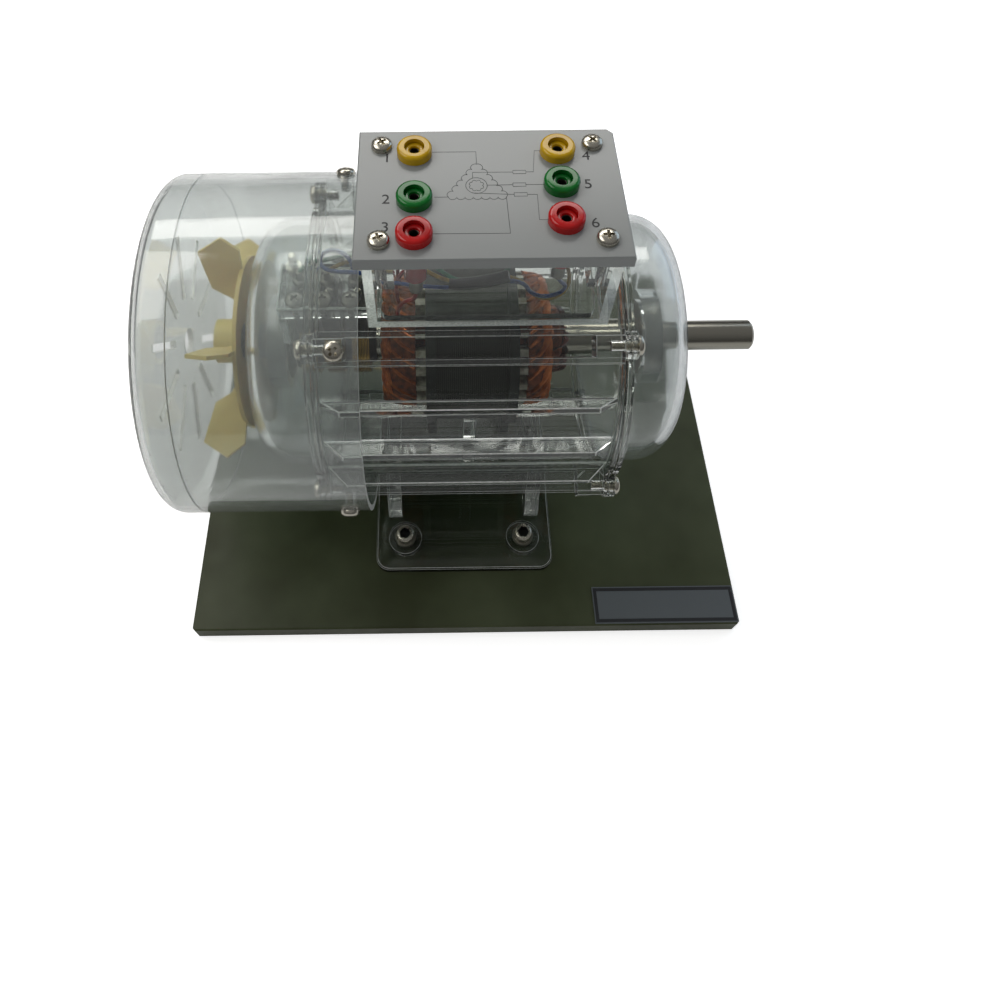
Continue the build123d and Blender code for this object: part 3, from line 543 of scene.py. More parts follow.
def new_tree(name, sockets):
    """An empty geometry tree with one geometry in, one out and named inputs."""
    tree = bpy.data.node_groups.new(name, "GeometryNodeTree")
    tree.interface.new_socket("Geometry", in_out="INPUT", socket_type="NodeSocketGeometry")
    for label, kind in sockets.items():
        tree.interface.new_socket(label, in_out="INPUT", socket_type=kind)
    tree.interface.new_socket("Geometry", in_out="OUTPUT", socket_type="NodeSocketGeometry")
    return tree, add(tree, "NodeGroupInput").outputs


def close_tree(tree, instances, material):
    """Ends a tree: its copies become plain mesh and take the material."""
    real = add(tree, "GeometryNodeRealizeInstances", {}, {"Geometry": instances})
    dressed = add(tree, "GeometryNodeSetMaterial", {}, {"Geometry": real.outputs[0], "Material": material})
    add(tree, "NodeGroupOutput", {}, {0: dressed.outputs[0]})
    return tree


def round_the_shaft_tree():
    """Copies of a piece, spaced evenly round the shaft, each with a small wander of its own."""
    sockets = {"Count": "NodeSocketInt", "Step": "NodeSocketFloat", "Wander": "NodeSocketFloat",
               "Seed": "NodeSocketInt", "Material": "NodeSocketMaterial"}
    tree, given = new_tree("round_the_shaft", sockets)
    lowered = add(tree, "GeometryNodeTransform", {}, {"Geometry": given["Geometry"],
                                                      "Translation": (0, 0, -AXIS_Z * MM)})
    points = add(tree, "GeometryNodePoints", {}, {"Count": given["Count"], "Position": (0, 0, AXIS_Z * MM)})
    index = add(tree, "GeometryNodeInputIndex").outputs[0]
    turned_by = add(tree, "ShaderNodeMath", {"operation": "MULTIPLY"}, {0: index, 1: given["Step"]})
    stray = add(tree, "FunctionNodeRandomValue", {"data_type": "FLOAT"},
                {2: -1.0, 3: 1.0, "ID": index, "Seed": given["Seed"]})
    angle = add(tree, "ShaderNodeMath", {"operation": "MULTIPLY_ADD"},
                {0: stray.outputs[1], 1: given["Wander"], 2: turned_by.outputs[0]})
    turn = add(tree, "ShaderNodeCombineXYZ", {}, {"X": angle.outputs[0]})
    copies = add(tree, "GeometryNodeInstanceOnPoints", {},
                 {"Points": points.outputs[0], "Instance": lowered.outputs[0], "Rotation": turn.outputs[0]})
    return close_tree(tree, copies.outputs[0], given["Material"])


def on_marked_points_tree():
    """Copies of a piece on marked points, its local Z along each point's aim, with a random spin."""
    sockets = {"Piece": "NodeSocketObject", "Spin": "NodeSocketFloat", "Seed": "NodeSocketInt",
               "Material": "NodeSocketMaterial"}
    tree, given = new_tree("on_marked_points", sockets)
    aim = add(tree, "GeometryNodeInputNamedAttribute", {"data_type": "FLOAT_VECTOR"}, {"Name": "aim"})
    stand = add(tree, "FunctionNodeAlignRotationToVector", {"axis": "Z"}, {"Vector": aim.outputs[0]})
    index = add(tree, "GeometryNodeInputIndex").outputs[0]
    share = add(tree, "FunctionNodeRandomValue", {"data_type": "FLOAT"},
                {2: 0.0, 3: 1.0, "ID": index, "Seed": given["Seed"]})
    angle = add(tree, "ShaderNodeMath", {"operation": "MULTIPLY"}, {0: share.outputs[1], 1: given["Spin"]})
    spin = add(tree, "FunctionNodeAxisAngleToRotation", {}, {"Axis": (0, 0, 1), "Angle": angle.outputs[0]})
    turn = add(tree, "FunctionNodeRotateRotation", {"rotation_space": "LOCAL"},
               {"Rotation": stand.outputs[0], "Rotate By": spin.outputs[0]})
    piece = add(tree, "GeometryNodeObjectInfo", {}, {"Object": given["Piece"]})
    copies = add(tree, "GeometryNodeInstanceOnPoints", {},
                 {"Points": given["Geometry"], "Instance": piece.outputs["Geometry"],
                  "Rotation": turn.outputs[0]})
    return close_tree(tree, copies.outputs[0], given["Material"])


def grow(name, piece, tree_maker, **values):
    """The plain mesh that a geometry tree makes from an object; the object is then removed."""
    tree_name = tree_maker.__name__.removesuffix("_tree")
    tree = bpy.data.node_groups.get(tree_name) or tree_maker()
    modifier = piece.modifiers.new(tree_name, "NODES")
    modifier.node_group = tree
    for socket in tree.interface.items_tree:
        if socket.in_out == "INPUT" and socket.name in values:
            modifier[socket.identifier] = values[socket.name]
    return smooth(result_of(piece, name), WIRE_CREASE)


def set_on_places(name, shape, places, finish_name, spin=0.0, seed=1):
    """Copies a shape in millimetres to (place, aim) pairs."""
    master = link_object(f"{name}_master", to_mesh(f"{name}_master", shape, finish_name))
    marks = bpy.data.meshes.new(f"{name}_marks")
    marks.from_pydata([Vector(place) * MM for place, aim in places], [], [])
    aims = marks.attributes.new("aim", "FLOAT_VECTOR", "POINT")
    for value, (place, aim) in zip(aims.data, places):
        value.vector = aim
    mesh = grow(name, link_object(name, marks), on_marked_points_tree, Piece=master, Spin=spin, Seed=seed,
                Material=finish(finish_name))
    bpy.data.objects.remove(master)
    return mesh


# --- screws ---------------------------------------------------------------------------------------

THREAD_PITCH, THREAD_DEPTH = 0.8, 0.35


def thread(radius, bottom, top):
    """Profile points of a threaded stretch, as rings one pitch apart."""
    turns = round((top - bottom) / THREAD_PITCH)
    pitch = (top - bottom) / turns
    points = []
    for number in range(turns):
        foot = bottom + number * pitch
        points += [(radius - THREAD_DEPTH, foot), (radius, foot + pitch / 2)]
    return points + [(radius - THREAD_DEPTH, top)]


def cross_recess(width, reach, top, depth):
    """A tapered cross that a driver fits, to be cut out of a head."""
    narrow_foot = 0.45
    tool = bmesh.new()
    for turn in (0, pi / 2):
        bar = bmesh.ops.create_cube(tool, size=1)["verts"]
        for vert in bar:
            waist = narrow_foot if vert.co.z < 0 else 1
            vert.co = Vector((vert.co.x * reach * waist, vert.co.y * width, top + (vert.co.z - 0.5) * depth))
            vert.co.rotate(Matrix.Rotation(turn, 3, "Z"))
    return tool


def pan_screw(head_radius, head_height, shank_radius, length):
    """A pan head with a cross recess over a threaded shank, seated at the origin."""
    crown = [(1.0, 0.0), (1.0, 0.35), (0.96, 0.58), (0.84, 0.78), (0.62, 0.92), (0.34, 0.985), (0.0, 1.0)]
    neck, slit, reach, depth = 0.2, 0.28, 1.05, 0.75
    profile = [(0, -length)] + thread(shank_radius, -length, -neck)
    profile += [(head_radius * wide, head_height * tall) for wide, tall in crown]
    above = 0.2
    tool = cross_recess(head_radius * slit, head_radius * reach, head_height + above,
                        head_height * depth + above)
    return carve(turned(profile, 28), tool)


def socket_bolt(head_radius, head_height, key_radius, key_depth, shank_radius, length):
    """A cylindrical head with a hexagonal socket and a broken edge over its shank."""
    bevel = 0.7
    profile = [
        (0, -length), (shank_radius, -length), (shank_radius, 0), (head_radius, 0),
        (head_radius, head_height - bevel), (head_radius - bevel, head_height), (0, head_height),
    ]
    tool = turned([(0, head_height - key_depth), (key_radius, head_height - key_depth),
                   (key_radius, head_height + 1), (0, head_height + 1)], 6)
    return carve(turned(profile, 32), tool)


# --- windings -------------------------------------------------------------------------------------


def bundle_paths(settings, near, reach, radii, span):
    """Wires of one twisted bundle: out of a slot, over in an arch, and back in span further round.

    near is where it leaves the core, reach how far out it goes (its sign gives the side), and radii its
    distance from the shaft at its two ends.
    """
    steps, fullness, foot = 12, 0.7, 0.25
    side = 1 if reach > 0 else -1
    thick = settings.bundle_radius / MM
    paths = []
    for wire in range(settings.wires):
        path = []
        for step in range(steps + 1):
            share = step / steps
            swirl = 2 * pi * (wire / settings.wires + settings.twist * share)
            arch = sin(pi * share) ** fullness
            radius = radii[0] + (radii[1] - radii[0]) * share + thick * sin(swirl)
            x = near + side * (abs(reach) - thick) * arch + thick * cos(swirl) * (foot + arch)
            path.append(round_shaft(span * (share - 0.5), radius, x))
        paths.append(path)
    return paths


def winding_head(name, node, settings, radii, span, filling, wire_finish):
    """A head of wound bundles in place of a node's plain ring, round a darker copper ring of painted shade
    that fills it.
    """
    left, right = low(node, 0), high(node, 0)
    near, far = (right, left) if right < 0 else (left, right)
    side = 1 if far > near else -1
    clear_of_core, wander = 0.8, 0.03
    paths = bundle_paths(settings, near + side * clear_of_core, far - near, radii, span)
    bundle = result_of(wire_curve(f"{node}_bundle", paths, settings.wire / MM), f"{node}_bundle")
    show(grow(name, link_object(f"{node}_bundle", bundle), round_the_shaft_tree, Count=settings.bundles,
              Step=2 * pi / settings.bundles, Wander=wander, Seed=7, Material=finish(wire_finish)), node)
    # Darker copper ring that fills the head: painted shade between the bundles.
    inner, outer = filling
    start, shoulder, end = 0.2, abs(far - near) - 4, abs(far - near) - 2.4
    ring = turned([(inner, start), (inner, shoulder), (inner + 1.5, end), (outer - 1.5, end),
                   (outer, shoulder), (outer, start)], 72)
    place = Matrix.Translation((near, 0, AXIS_Z)) @ Matrix.Rotation(pi / 2, 4, "Y")
    if side < 0:
        place = place @ Matrix.Scale(-1, 4, UP)
        bmesh.ops.reverse_faces(ring, faces=ring.faces)
    bmesh.ops.transform(ring, matrix=place, verts=ring.verts)
    show(to_mesh(f"{name}_inside", ring, "soaked_copper"), node, stands_for=False)


# --- print ----------------------------------------------------------------------------------------


def scallops(start, end, count, bulge):
    """Points of a row of half round bumps from start to end, the sign for a coil."""
    start, end = Vector(start), Vector(end)
    along = (end - start) / count
    across = Vector((-along.y, along.x)).normalized() * bulge
    steps = 8
    return [
        start + along * (bump + (1 - cos(pi * step / steps)) / 2) + across * sin(pi * step / steps)
        for bump in range(count)
        for step in range(steps + 1)
    ]


def box_outline(middle, length, height):
    """Corners of a rectangle round a middle, closed."""
    x, y = middle
    corners = [(-1, -1), (1, -1), (1, 1), (-1, 1), (-1, -1)]
    return [(x + a * length / 2, y + b * height / 2) for a, b in corners]


def round_outline(middle, radius, steps, ripple=0.0, ripples=4):
    """Points round a circle, closed, its radius swelling by ripple twice for each of the ripples."""
    angles = [2 * pi * step / steps for step in range(steps + 1)]
    reaches = [radius + ripple * abs(sin(ripples * angle)) for angle in angles]
    return [(middle[0] + reach * cos(angle), middle[1] + reach * sin(angle))
            for angle, reach in zip(angles, reaches)]


# Diagram on the terminal plate: stator coils in a triangle, rotor coils in a star, three brushes.
TRIANGLE = ((3.9, 15.8), (-8.8, -3.4), (15.9, -3.6))
ROTOR_MARK, ROTOR_MARK_RADIUS = (3.4, 3.1), 4.6
BRUSH_MARKS = ((22.4, 10.8), (21.9, 3.3), (22.1, -2.4))
BRUSH_MARK_SIZE = (5.6, 2.0)


def diagram_lines():
    """Every line of the diagram as points on the plate."""
    top, left, right = TRIANGLE
    half = BRUSH_MARK_SIZE[0] / 2
    (x1, y1), (x2, y2), (x3, y3) = BRUSH_MARKS
    rows = [
        scallops(left, top, 6, 1.5), scallops(top, right, 6, 1.5), scallops(right, left, 7, 1.5),
        round_outline(ROTOR_MARK, ROTOR_MARK_RADIUS, 36),
        [(-15.6, 23.6), (3.9, 23.5), top],
        [(-14.9, -3.4), left],
        [(-16.0, -23.7), (16.4, -23.9), right],
        [(1.9, 7.5), (1.9, 10.9), (x1 - half, y1)],
        [(8.0, 3.2), (x2 - half, y2)],
        [(1.4, -1.2), (x3 - half, y3)],
        [(x1 + half, y1), (28.5, 10.8), (29.9, 23.7), (32.2, 23.7)],
        [(x2 + half, y2), (32.8, 3.2)],
        [(x3 + half, y3), (29.2, -2.5), (28.9, -16.7), (32.3, -16.8)],
    ]
    rows += [box_outline(mark, *BRUSH_MARK_SIZE) for mark in BRUSH_MARKS]
    return rows + [round_outline(ROTOR_MARK, ROTOR_MARK_RADIUS * 0.56, 48, ROTOR_MARK_RADIUS * 0.16)]


# Plain numbers beside the sockets, with the place of their middle on the plate.
SOCKET_NUMBERS = (("1", -35.5, 20), ("2", -35.5, -4.5), ("3", -35.5, -20),
                  ("4", 52.5, 20), ("5", 51.5, 3), ("6", 52, -19))


def number_mesh(name, figures, size, rise):
    """Figures laid flat, each a thin slab whose middle is at its own place."""
    shape = bmesh.new()
    for figure, x, y in figures:
        data = bpy.data.curves.new(f"figure_{figure}", "FONT")
        data.body, data.size, data.extrude = figure, size * MM, rise / 2 * MM
        data.align_x, data.align_y = "CENTER", "CENTER"
        flat = result_of(link_object(f"figure_{figure}", data), f"figure_{figure}")
        flat.transform(Matrix.Scale(1 / MM, 4))
        flat.transform(Matrix.Translation((x, y, PLATE_TOP + rise / 2)))
        shape.from_mesh(flat)
    return to_mesh(name, shape, "black_ink")


# --- leads ----------------------------------------------------------------------------------------

LEAD = 2
CONTACT_FOOT, CAP_TOP, CAP_Y = 199, 171, 1
STATOR_SOCKET_X, ROTOR_SOCKET_X = -23.4, 40
SOCKET_PLACES = {
    "yellow": ((STATOR_SOCKET_X, 23), (ROTOR_SOCKET_X, 23)),
    "green": ((STATOR_SOCKET_X, -4.5), (ROTOR_SOCKET_X, 3)),
    "red": ((STATOR_SOCKET_X, -24.5), (ROTOR_SOCKET_X, -17.5)),
}
WINDING_X, WINDING_RADIUS = -33, 38.5


def winding_top(y):
    """Height just inside the round top of the left stator winding head at y."""
    return AXIS_Z + sqrt(WINDING_RADIUS**2 - y**2) - 1


# Each stator lead: where it leaves the winding, two places on its way, its rise and its socket.
STATOR_ROUTES = tuple(
    ((WINDING_X, start, winding_top(start)), *way, (STATOR_SOCKET_X, end, rise),
     (STATOR_SOCKET_X, end, CONTACT_FOOT))
    for start, way, rise, end in (
        (-14, ((-34, -15, 168), (-29, -20, 184)), 190.5, -24.5),
        (-2, ((-35, -2.5, 171), (-30, -4, 186)), 191, -4.5),
        (12, ((-35, 14, 169), (-30, 19, 184)), 190.5, 23),
    )
)
ROTOR_ROUTES = (
    (
        (ROTOR_SOCKET_X, -17.5, CONTACT_FOOT), (41, -17, 193.5), (46, -14, 186), (45, -11, 176),
        (38, -10, 171), (30.5, -10.3, 174.5), (27, -10, 183), (18, -11.4, 187.1), (8, -11.8, 183.7),
        (-4, -11.4, 181.4), (-16, -10.5, 181), (-30, -9, 181.5), (-42, -5.5, 180.5), (-53, -3.5, 180),
        (-63, -3.3, 179.8), (-69, -0.8, 180.2), (-70.6, 4.8, 180.6), (-66.3, 9, 181), (-60, 8.2, 180.6),
        (-55.8, 5, 178.6), (RING_PLACES[2], CAP_Y, 174.5), (RING_PLACES[2], CAP_Y, CAP_TOP),
    ),
    (
        (ROTOR_SOCKET_X, 3, CONTACT_FOOT), (41, 2, 193.5), (47, -1, 186.5), (50, -5, 178), (46, -8, 169),
        (38, -7.5, 165.5), (31, -6.5, 170), (28, -6.8, 178.5), (18, -8.6, 187.1), (8, -9, 183.7),
        (-4, -8.6, 181.4), (-13, -5, 181), (-22, 1, 181.2), (-34, 5, 180), (-47, 6.3, 177.5),
        (-58, 5.8, 176), (-64, 3.2, 175.5), (RING_PLACES[1], CAP_Y, 174), (RING_PLACES[1], CAP_Y, CAP_TOP),
    ),
    (
        (ROTOR_SOCKET_X, 23, CONTACT_FOOT), (39.5, 22.5, 193), (34, 17, 188), (27, 6, 190),
        (18, -10, 189.4), (8, -10.4, 186), (-4, -10, 183.7), (-14, -2, 184.5), (-24, 6.5, 183.5),
        (-36, 10, 180.5), (-50, 9.5, 177.5), (-62, 8.5, 176.5), (-73, 5.5, 176), (-78, 3, 175.7),
        (RING_PLACES[0], CAP_Y, 174), (RING_PLACES[0], CAP_Y, CAP_TOP),
    ),
)
# Shrunk black sleeve that gathers the three rotor leads under the terminal plate.
SLEEVE_ROUTE = ((19.5, -10, 188.3), (18, -10, 187.9), (8, -10.4, 184.5), (-4, -10, 182.2), (-8, -9.2, 181.9))
SLEEVE = 6


# --- settings -------------------------------------------------------------------------------------


def size(name, description, default_mm):
    """A length that the user can change, its default given in millimetres."""
    return bpy.props.FloatProperty(name=name, description=description, default=default_mm * MM,
                                   unit="LENGTH")


def light(name, description, default, unit="NONE"):
    """A level of light that the user can change."""
    return bpy.props.FloatProperty(name=name, description=description, default=default, min=0.0, unit=unit)


def winding(bundles, wires_drawn, wire, bundle_radius, twist):
    """Settings of a winding's heads."""
    return {
        "bundles": bpy.props.IntProperty(name="Bundles", description="Bundles round each head",
                                         default=bundles, min=3),
        "wires": bpy.props.IntProperty(name="Wires", description="Wires drawn round a bundle",
                                       default=wires_drawn, min=3),
        "wire": size("Wire", "Thickness of a drawn wire, coarser than real", wire),
        "bundle_radius": size("Bundle radius", "To the middle of its wires", bundle_radius),
        "twist": bpy.props.FloatProperty(name="Twist", description="Turns of a bundle over its length",
                                         default=twist),
    }


class MotorStageSettings(bpy.types.PropertyGroup):
    """Light level of the studio"""

    sky_strength: light("Sky strength", "Even light from all round", 0.38)
    mirrored_room: light("Mirrored room", "Ceiling that metal mirrors", 0.25)
    key_power: light("Key power", "Large soft lamp above the left", 3.4, "POWER")
    rim_power: light("Rim power", "Long soft lamp behind the part", 3.4, "POWER")
    window_power: light("Window power", "Cool soft lamp at the right", 0.9, "POWER")


class MotorColourSettings(bpy.types.PropertyGroup):
    """Colours of the socket shrouds and of the leads"""

    __annotations__ = {
        name: bpy.props.FloatVectorProperty(name=name.replace("_", " ").capitalize(), default=linear(colour),
                                            description=f"Colour of every {name.split('_')[0]} of that kind",
                                            size=4, min=0.0, max=1.0, subtype="COLOR")
        for name, (maker, colour, shade) in COLOURED_FINISHES.items()
    }


class MotorScrewSettings(bpy.types.PropertyGroup):
    """Sizes of the pan head screws"""

    head: size("Head", "Diameter of a pan head", 9.5)
    head_height: size("Head height", "Height of a pan head", 3.2)
    spin: bpy.props.FloatProperty(name="Spin", description="How far the recesses are turned at random",
                                  default=radians(90), subtype="ANGLE")


class MotorStatorWindingSettings(bpy.types.PropertyGroup):
    """Bundles of the stator winding heads"""

    __annotations__ = winding(bundles=26, wires_drawn=13, wire=1.15, bundle_radius=1.8, twist=0.9)


class MotorRotorWindingSettings(bpy.types.PropertyGroup):
    """Bundles of the rotor winding heads"""

    __annotations__ = winding(bundles=18, wires_drawn=8, wire=1.2, bundle_radius=1.5, twist=0.7)


class MotorPrintSettings(bpy.types.PropertyGroup):
    """Print on the terminal plate and border of the label"""

    line: size("Line", "Width of the diagram's lines", 0.8)
    figure: size("Figure", "Height of the numbers' type", 7.5)
    border: size("Border", "Width of the label's black border", 1.8)


# --- stage ----------------------------------------------------------------------------------------

# Camera of the photograph: pixels of the 1000 by 1000 picture, degrees and millimetres.
FOCAL_PIXELS, CENTRE_PIXEL_X, CENTRE_PIXEL_Y = 832.8, 436.2, 299.6
CAMERA_PLACE = (-15.0, -245.1, 496.4)
CAMERA_TURN, CAMERA_DOWN, CAMERA_ROLL = 0.12, 54.47, -0.62
PICTURE_SIDE, SENSOR_WIDTH = 1000, 36


def camera_axes():
    """Right, up and backward directions of the photograph's camera."""
    turn, down, roll = radians(CAMERA_TURN), radians(CAMERA_DOWN), radians(CAMERA_ROLL)
    forward = Vector((sin(turn) * cos(down), cos(turn) * cos(down), -sin(down)))
    level = Vector((cos(turn), -sin(turn), 0))
    above = level.cross(forward)
    right = cos(roll) * level + sin(roll) * above
    up = -sin(roll) * level + cos(roll) * above
    return right, up, -forward


def add_lamp(name, power, size, place, target, colour="F8F6F2"):
    """A soft rectangular lamp that points at a target, all in millimetres."""
    data = bpy.data.lights.new(name, "AREA")
    data.shape = "RECTANGLE"
    data.size, data.size_y = size[0] * MM, size[1] * MM
    data.energy = power
    data.color = linear(colour)[:3]
    lamp = link_object(name, data)
    lamp.location = Vector(place) * MM
    aim = (Vector(target) - Vector(place)).normalized()
    lamp.rotation_euler = aim.to_track_quat("-Z", "Y").to_euler()


class MOTOR_OT_stage(bpy.types.Operator):
    """Camera of the photograph, pale floor and soft studio light"""

    bl_idname = "motor.stage"
    bl_label = "Stage and camera"

    def execute(self, context):
        settings = context.scene.motor_stage
        data = bpy.data.cameras.new("photo_camera")
        data.sensor_width = SENSOR_WIDTH
        data.lens = FOCAL_PIXELS / PICTURE_SIDE * SENSOR_WIDTH
        data.shift_x = 0.5 - CENTRE_PIXEL_X / PICTURE_SIDE
        data.shift_y = CENTRE_PIXEL_Y / PICTURE_SIDE - 0.5
        data.clip_start = 0.01
        camera = link_object("photo_camera", data)
        turn = Matrix(camera_axes()).transposed().to_4x4()
        camera.matrix_world = Matrix.Translation(Vector(CAMERA_PLACE) * MM) @ turn
        context.scene.camera = camera
        context.scene.view_settings.view_transform = "Standard"

        world = bpy.data.worlds.new("studio")
        context.scene.world = world
        world.use_nodes = True
        tree = world.node_tree
        tree.nodes.clear()
        direction = add(tree, "ShaderNodeTexCoord").outputs["Generated"]
        height = add(tree, "ShaderNodeSeparateXYZ", {}, {0: direction}).outputs["Z"]
        # What metal and clear walls mirror: a dim room with a paler ceiling.
        room = add(tree, "ShaderNodeMapRange", {}, {"Value": height, "From Min": 0.2, "To Min": 0.08,
                                                    "To Max": settings.mirrored_room})
        mirrored = any_of(tree, "Is Glossy Ray", "Is Transmission Ray")
        around = add(tree, "ShaderNodeMapRange", {}, {"Value": mirrored, "To Min": settings.sky_strength,
                                                      "To Max": room.outputs[0]})
        level = add(tree, "ShaderNodeMapRange", {}, {"Value": any_of(tree, "Is Camera Ray"),
                                                     "To Min": around.outputs[0], "To Max": 1.0})
        sky = add(tree, "ShaderNodeBackground", {}, {"Color": linear("FFFFFF"), "Strength": level.outputs[0]})
        add(tree, "ShaderNodeOutputWorld", {}, {"Surface": sky.outputs[0]})

        half_side, below_the_feet = 2000 * MM, 0.2 * MM
        shape = bmesh.new()
        bmesh.ops.create_grid(shape, x_segments=1, y_segments=1, size=half_side)
        mesh = bpy.data.meshes.new("floor")
        shape.to_mesh(mesh)
        shape.free()
        mesh.materials.append(self.floor_finish())
        floor = link_object("floor", mesh)
        floor.location.z = -below_the_feet

        add_lamp("key", settings.key_power, (700, 500), (-600, 60, 900), (0, 0, 100))
        add_lamp("rim", settings.rim_power, (900, 250), (-60, 640, 800), (0, 0, 120))
        add_lamp("window", settings.window_power, (500, 500), (600, 350, 380), (100, 0, 120), "B9D2EC")
        return {"FINISHED"}

    def floor_finish(self):
        """Pale floor that reads white to the camera and still takes the part's shadow."""
        material = make_finish("pale_floor", "F2F2F2", 0.9, {"Emission Color": linear("FFFFFF")})
        tree = material.node_tree
        glow = 0.62
        seen = any_of(tree, "Is Camera Ray")
        lift = add(tree, "ShaderNodeMath", {"operation": "MULTIPLY"}, {0: seen, 1: glow})
        tree.links.new(lift.outputs[0], tree.nodes["Principled BSDF"].inputs["Emission Strength"])
        return material


# --- pieces ---------------------------------------------------------------------------------------


class MOTOR_OT_board(bpy.types.Operator):
    """Base board, blank label with its border, foot plate, pads, washers, bolts and saddles"""

    bl_idname = "motor.board"
    bl_label = "Board and feet"

    def execute(self, context):
        dress("base_board", "board_laminate")
        dress("name_plate", "label_field")
        dress("foot_washers", "drawn_steel")
        dress_sheets("foot_plate", "foot_pads", "saddle_left", "saddle_right", edge=FAINT_EDGE)
        self.border(context.scene.motor_print.border / MM)
        self.bolts()
        return {"FINISHED"}

    def border(self, width):
        """Black frame printed round the blank label."""
        rise, margin = 0.05, 0.6
        left, right = low("name_plate", 0) + margin, high("name_plate", 0) - margin
        front, back = low("name_plate", 1) + margin, high("name_plate", 1) - margin
        top = high("name_plate", 2)
        shape = bmesh.new()
        loops = []
        for inset, height in ((0, top - rise), (width, top - rise), (width, top + rise), (0, top + rise)):
            corners = [(left + inset, front + inset), (right - inset, front + inset),
                       (right - inset, back - inset), (left + inset, back - inset)]
            loops.append([shape.verts.new((x, y, height)) for x, y in corners])
        for loop, after in zip(loops, loops[1:] + loops[:1]):
            for at in range(4):
                shape.faces.new((loop[at], loop[at - 1], after[at - 1], after[at]))
        bmesh.ops.recalc_face_normals(shape, faces=shape.faces)
        show(to_mesh("label_border", shape, "black_ink"), "name_plate", stands_for=False)

    def bolts(self):
        """Four socket head bolts through the pads into the board, each socket lined with a dark cup of
        painted shade.
        """
        head, tall, key, key_depth, shank = 5, 6, 3.3, 5, 3
        half_x, half_y, seat = 34, 76, high("foot_washers", 2)
        places = [((x, y, seat), UP) for x in (-half_x, half_x) for y in (-half_y, half_y)]
        bolt = socket_bolt(head, tall, key, key_depth, shank, seat - low("foot_bolts", 2))
        # A thin dark cup just inside each socket: painted shade of the recess.
        outer, inner, floor, skin = key - 0.02, key - 0.2, tall - key_depth, 0.2
        socket_shade_cup = turned([(0, floor), (outer, floor), (outer, tall - skin), (inner, tall - skin),
                         (inner, floor + skin), (0, floor + skin)], 6)
        rows = (("socket_bolts", bolt, "nickel_plate", True), ("bolt_linings", socket_shade_cup, "black_oxide", False))
        for name, shape, finish_name, stands_for in rows:
            mesh = set_on_places(name, shape, places, finish_name, spin=radians(60), seed=4)
            show(mesh, "foot_bolts", stands_for)


class MOTOR_OT_case(bpy.types.Operator):
    """Clear tube, flanges, fins, channels and end bells"""

    bl_idname = "motor.case"
    bl_label = "Clear case"

    def execute(self, context):
        dress("housing_tube", "cast_acrylic", "sawn_acrylic", tube_end)
        dress("housing_flanges", "cast_acrylic", "glued_acrylic")
        dress("bell_flanges", "cast_acrylic", "glued_acrylic")
        dress_sheets("ear_channels", "cooling_fins")
        dress("end_bell_left", "moulded_acrylic")
        dress("end_bell_right", "moulded_acrylic")
        return {"FINISHED"}


class MOTOR_OT_screws(bpy.types.Operator):
    """Pan head screws of the flanges, the cowl and the terminal plate"""

    bl_idname = "motor.screws"
    bl_label = "Screws"

    def execute(self, context):
        settings = context.scene.motor_screws
        shank, half_x, half_y = 2.5, 47, 27.5
        flange_x, cowl_x = high("bell_flanges", 0), midway("cowl_screws", 0)
        plate_x = midway("plate_screws", 0)
        flange = [(round_shaft(angle, LUG_HOLE_CIRCLE, side * flange_x), AHEAD * side)
                  for side in (-1, 1) for angle in LUG_ANGLES]
        cowl = [(round_shaft(angle, COWL_RADIUS, cowl_x), outward(angle)) for angle in LUG_ANGLES]
        plate = [((plate_x + x, y, PLATE_TOP), UP) for x in (-half_x, half_x) for y in (-half_y, half_y)]
        rows = (("flange_screws", flange, 12, 3), ("cowl_screws", cowl, 9, 5), ("plate_screws", plate, 18, 8))
        for node, places, reach, seed in rows:
            screw = pan_screw(settings.head / 2 / MM, settings.head_height / MM, shank, reach)
            show(set_on_places(f"{node}_look", screw, places, "nickel_plate", settings.spin, seed), node)
        return {"FINISHED"}


class MOTOR_OT_cowl(bpy.types.Operator):
    """Fan cowl and its slotted cap"""

    bl_idname = "motor.cowl"
    bl_label = "Fan cowl"

    def execute(self, context):
        dress("fan_cowl", "moulded_acrylic", "sawn_acrylic", tube_end)
        dress("cowl_cap", "moulded_acrylic", "sawn_acrylic", slot_wall)
        return {"FINISHED"}


class MOTOR_OT_terminals(bpy.types.Operator):
    """Terminal box, opal plate with its diagram and numbers, safety sockets and nuts"""

    bl_idname = "motor.terminals"
    bl_label = "Terminal box"

    def execute(self, context):
        settings = context.scene.motor_print
        dress("terminal_box", "cast_acrylic", "sawn_acrylic", cut_to_case)
        dress_sheets("corner_blocks")
        # The white opal plate takes a grey that is painted shade.
        dress("terminal_plate", "opal_acrylic")
        dress("socket_contacts", "drawn_steel")
        dress("socket_nuts", "drawn_steel")
        for colour in SOCKET_PLACES:
            dress(f"sockets_{colour}", f"shroud_{colour}")
            self.insert(colour)
        # A round line is sunk until only a low bead of it stands above the plate.
        line, sunk_share, rise = settings.line / MM, 0.35, 0.08
        paths = [[(x, y, PLATE_TOP - line * sunk_share) for x, y in row] for row in diagram_lines()]
        diagram = wires("plate_diagram", paths, line, "black_ink", straight=True, sides=0)
        show(diagram, "terminal_plate", stands_for=False)
        numbers = number_mesh("plate_numbers", SOCKET_NUMBERS, settings.figure / MM, rise)
        show(numbers, "terminal_plate", stands_for=False)
        return {"FINISHED"}

    def insert(self, colour):
        """Inner ring of the two sockets of a colour, just above the top of the contact."""
        bore, outer, broken, gap, top = 2.3, 4.4, 0.3, 0.1, 2.4
        bottom = high("socket_contacts", 2) - PLATE_TOP + gap
        ring = turned([(bore, bottom), (outer, bottom), (outer, top - broken), (outer - broken, top),
                       (bore + broken, top), (bore, top - broken)], 36)
        places = [((x, y, PLATE_TOP), UP) for x, y in SOCKET_PLACES[colour]]
        mesh = set_on_places(f"socket_inserts_{colour}", ring, places, f"shroud_{colour}")
        show(mesh, f"sockets_{colour}", stands_for=False)


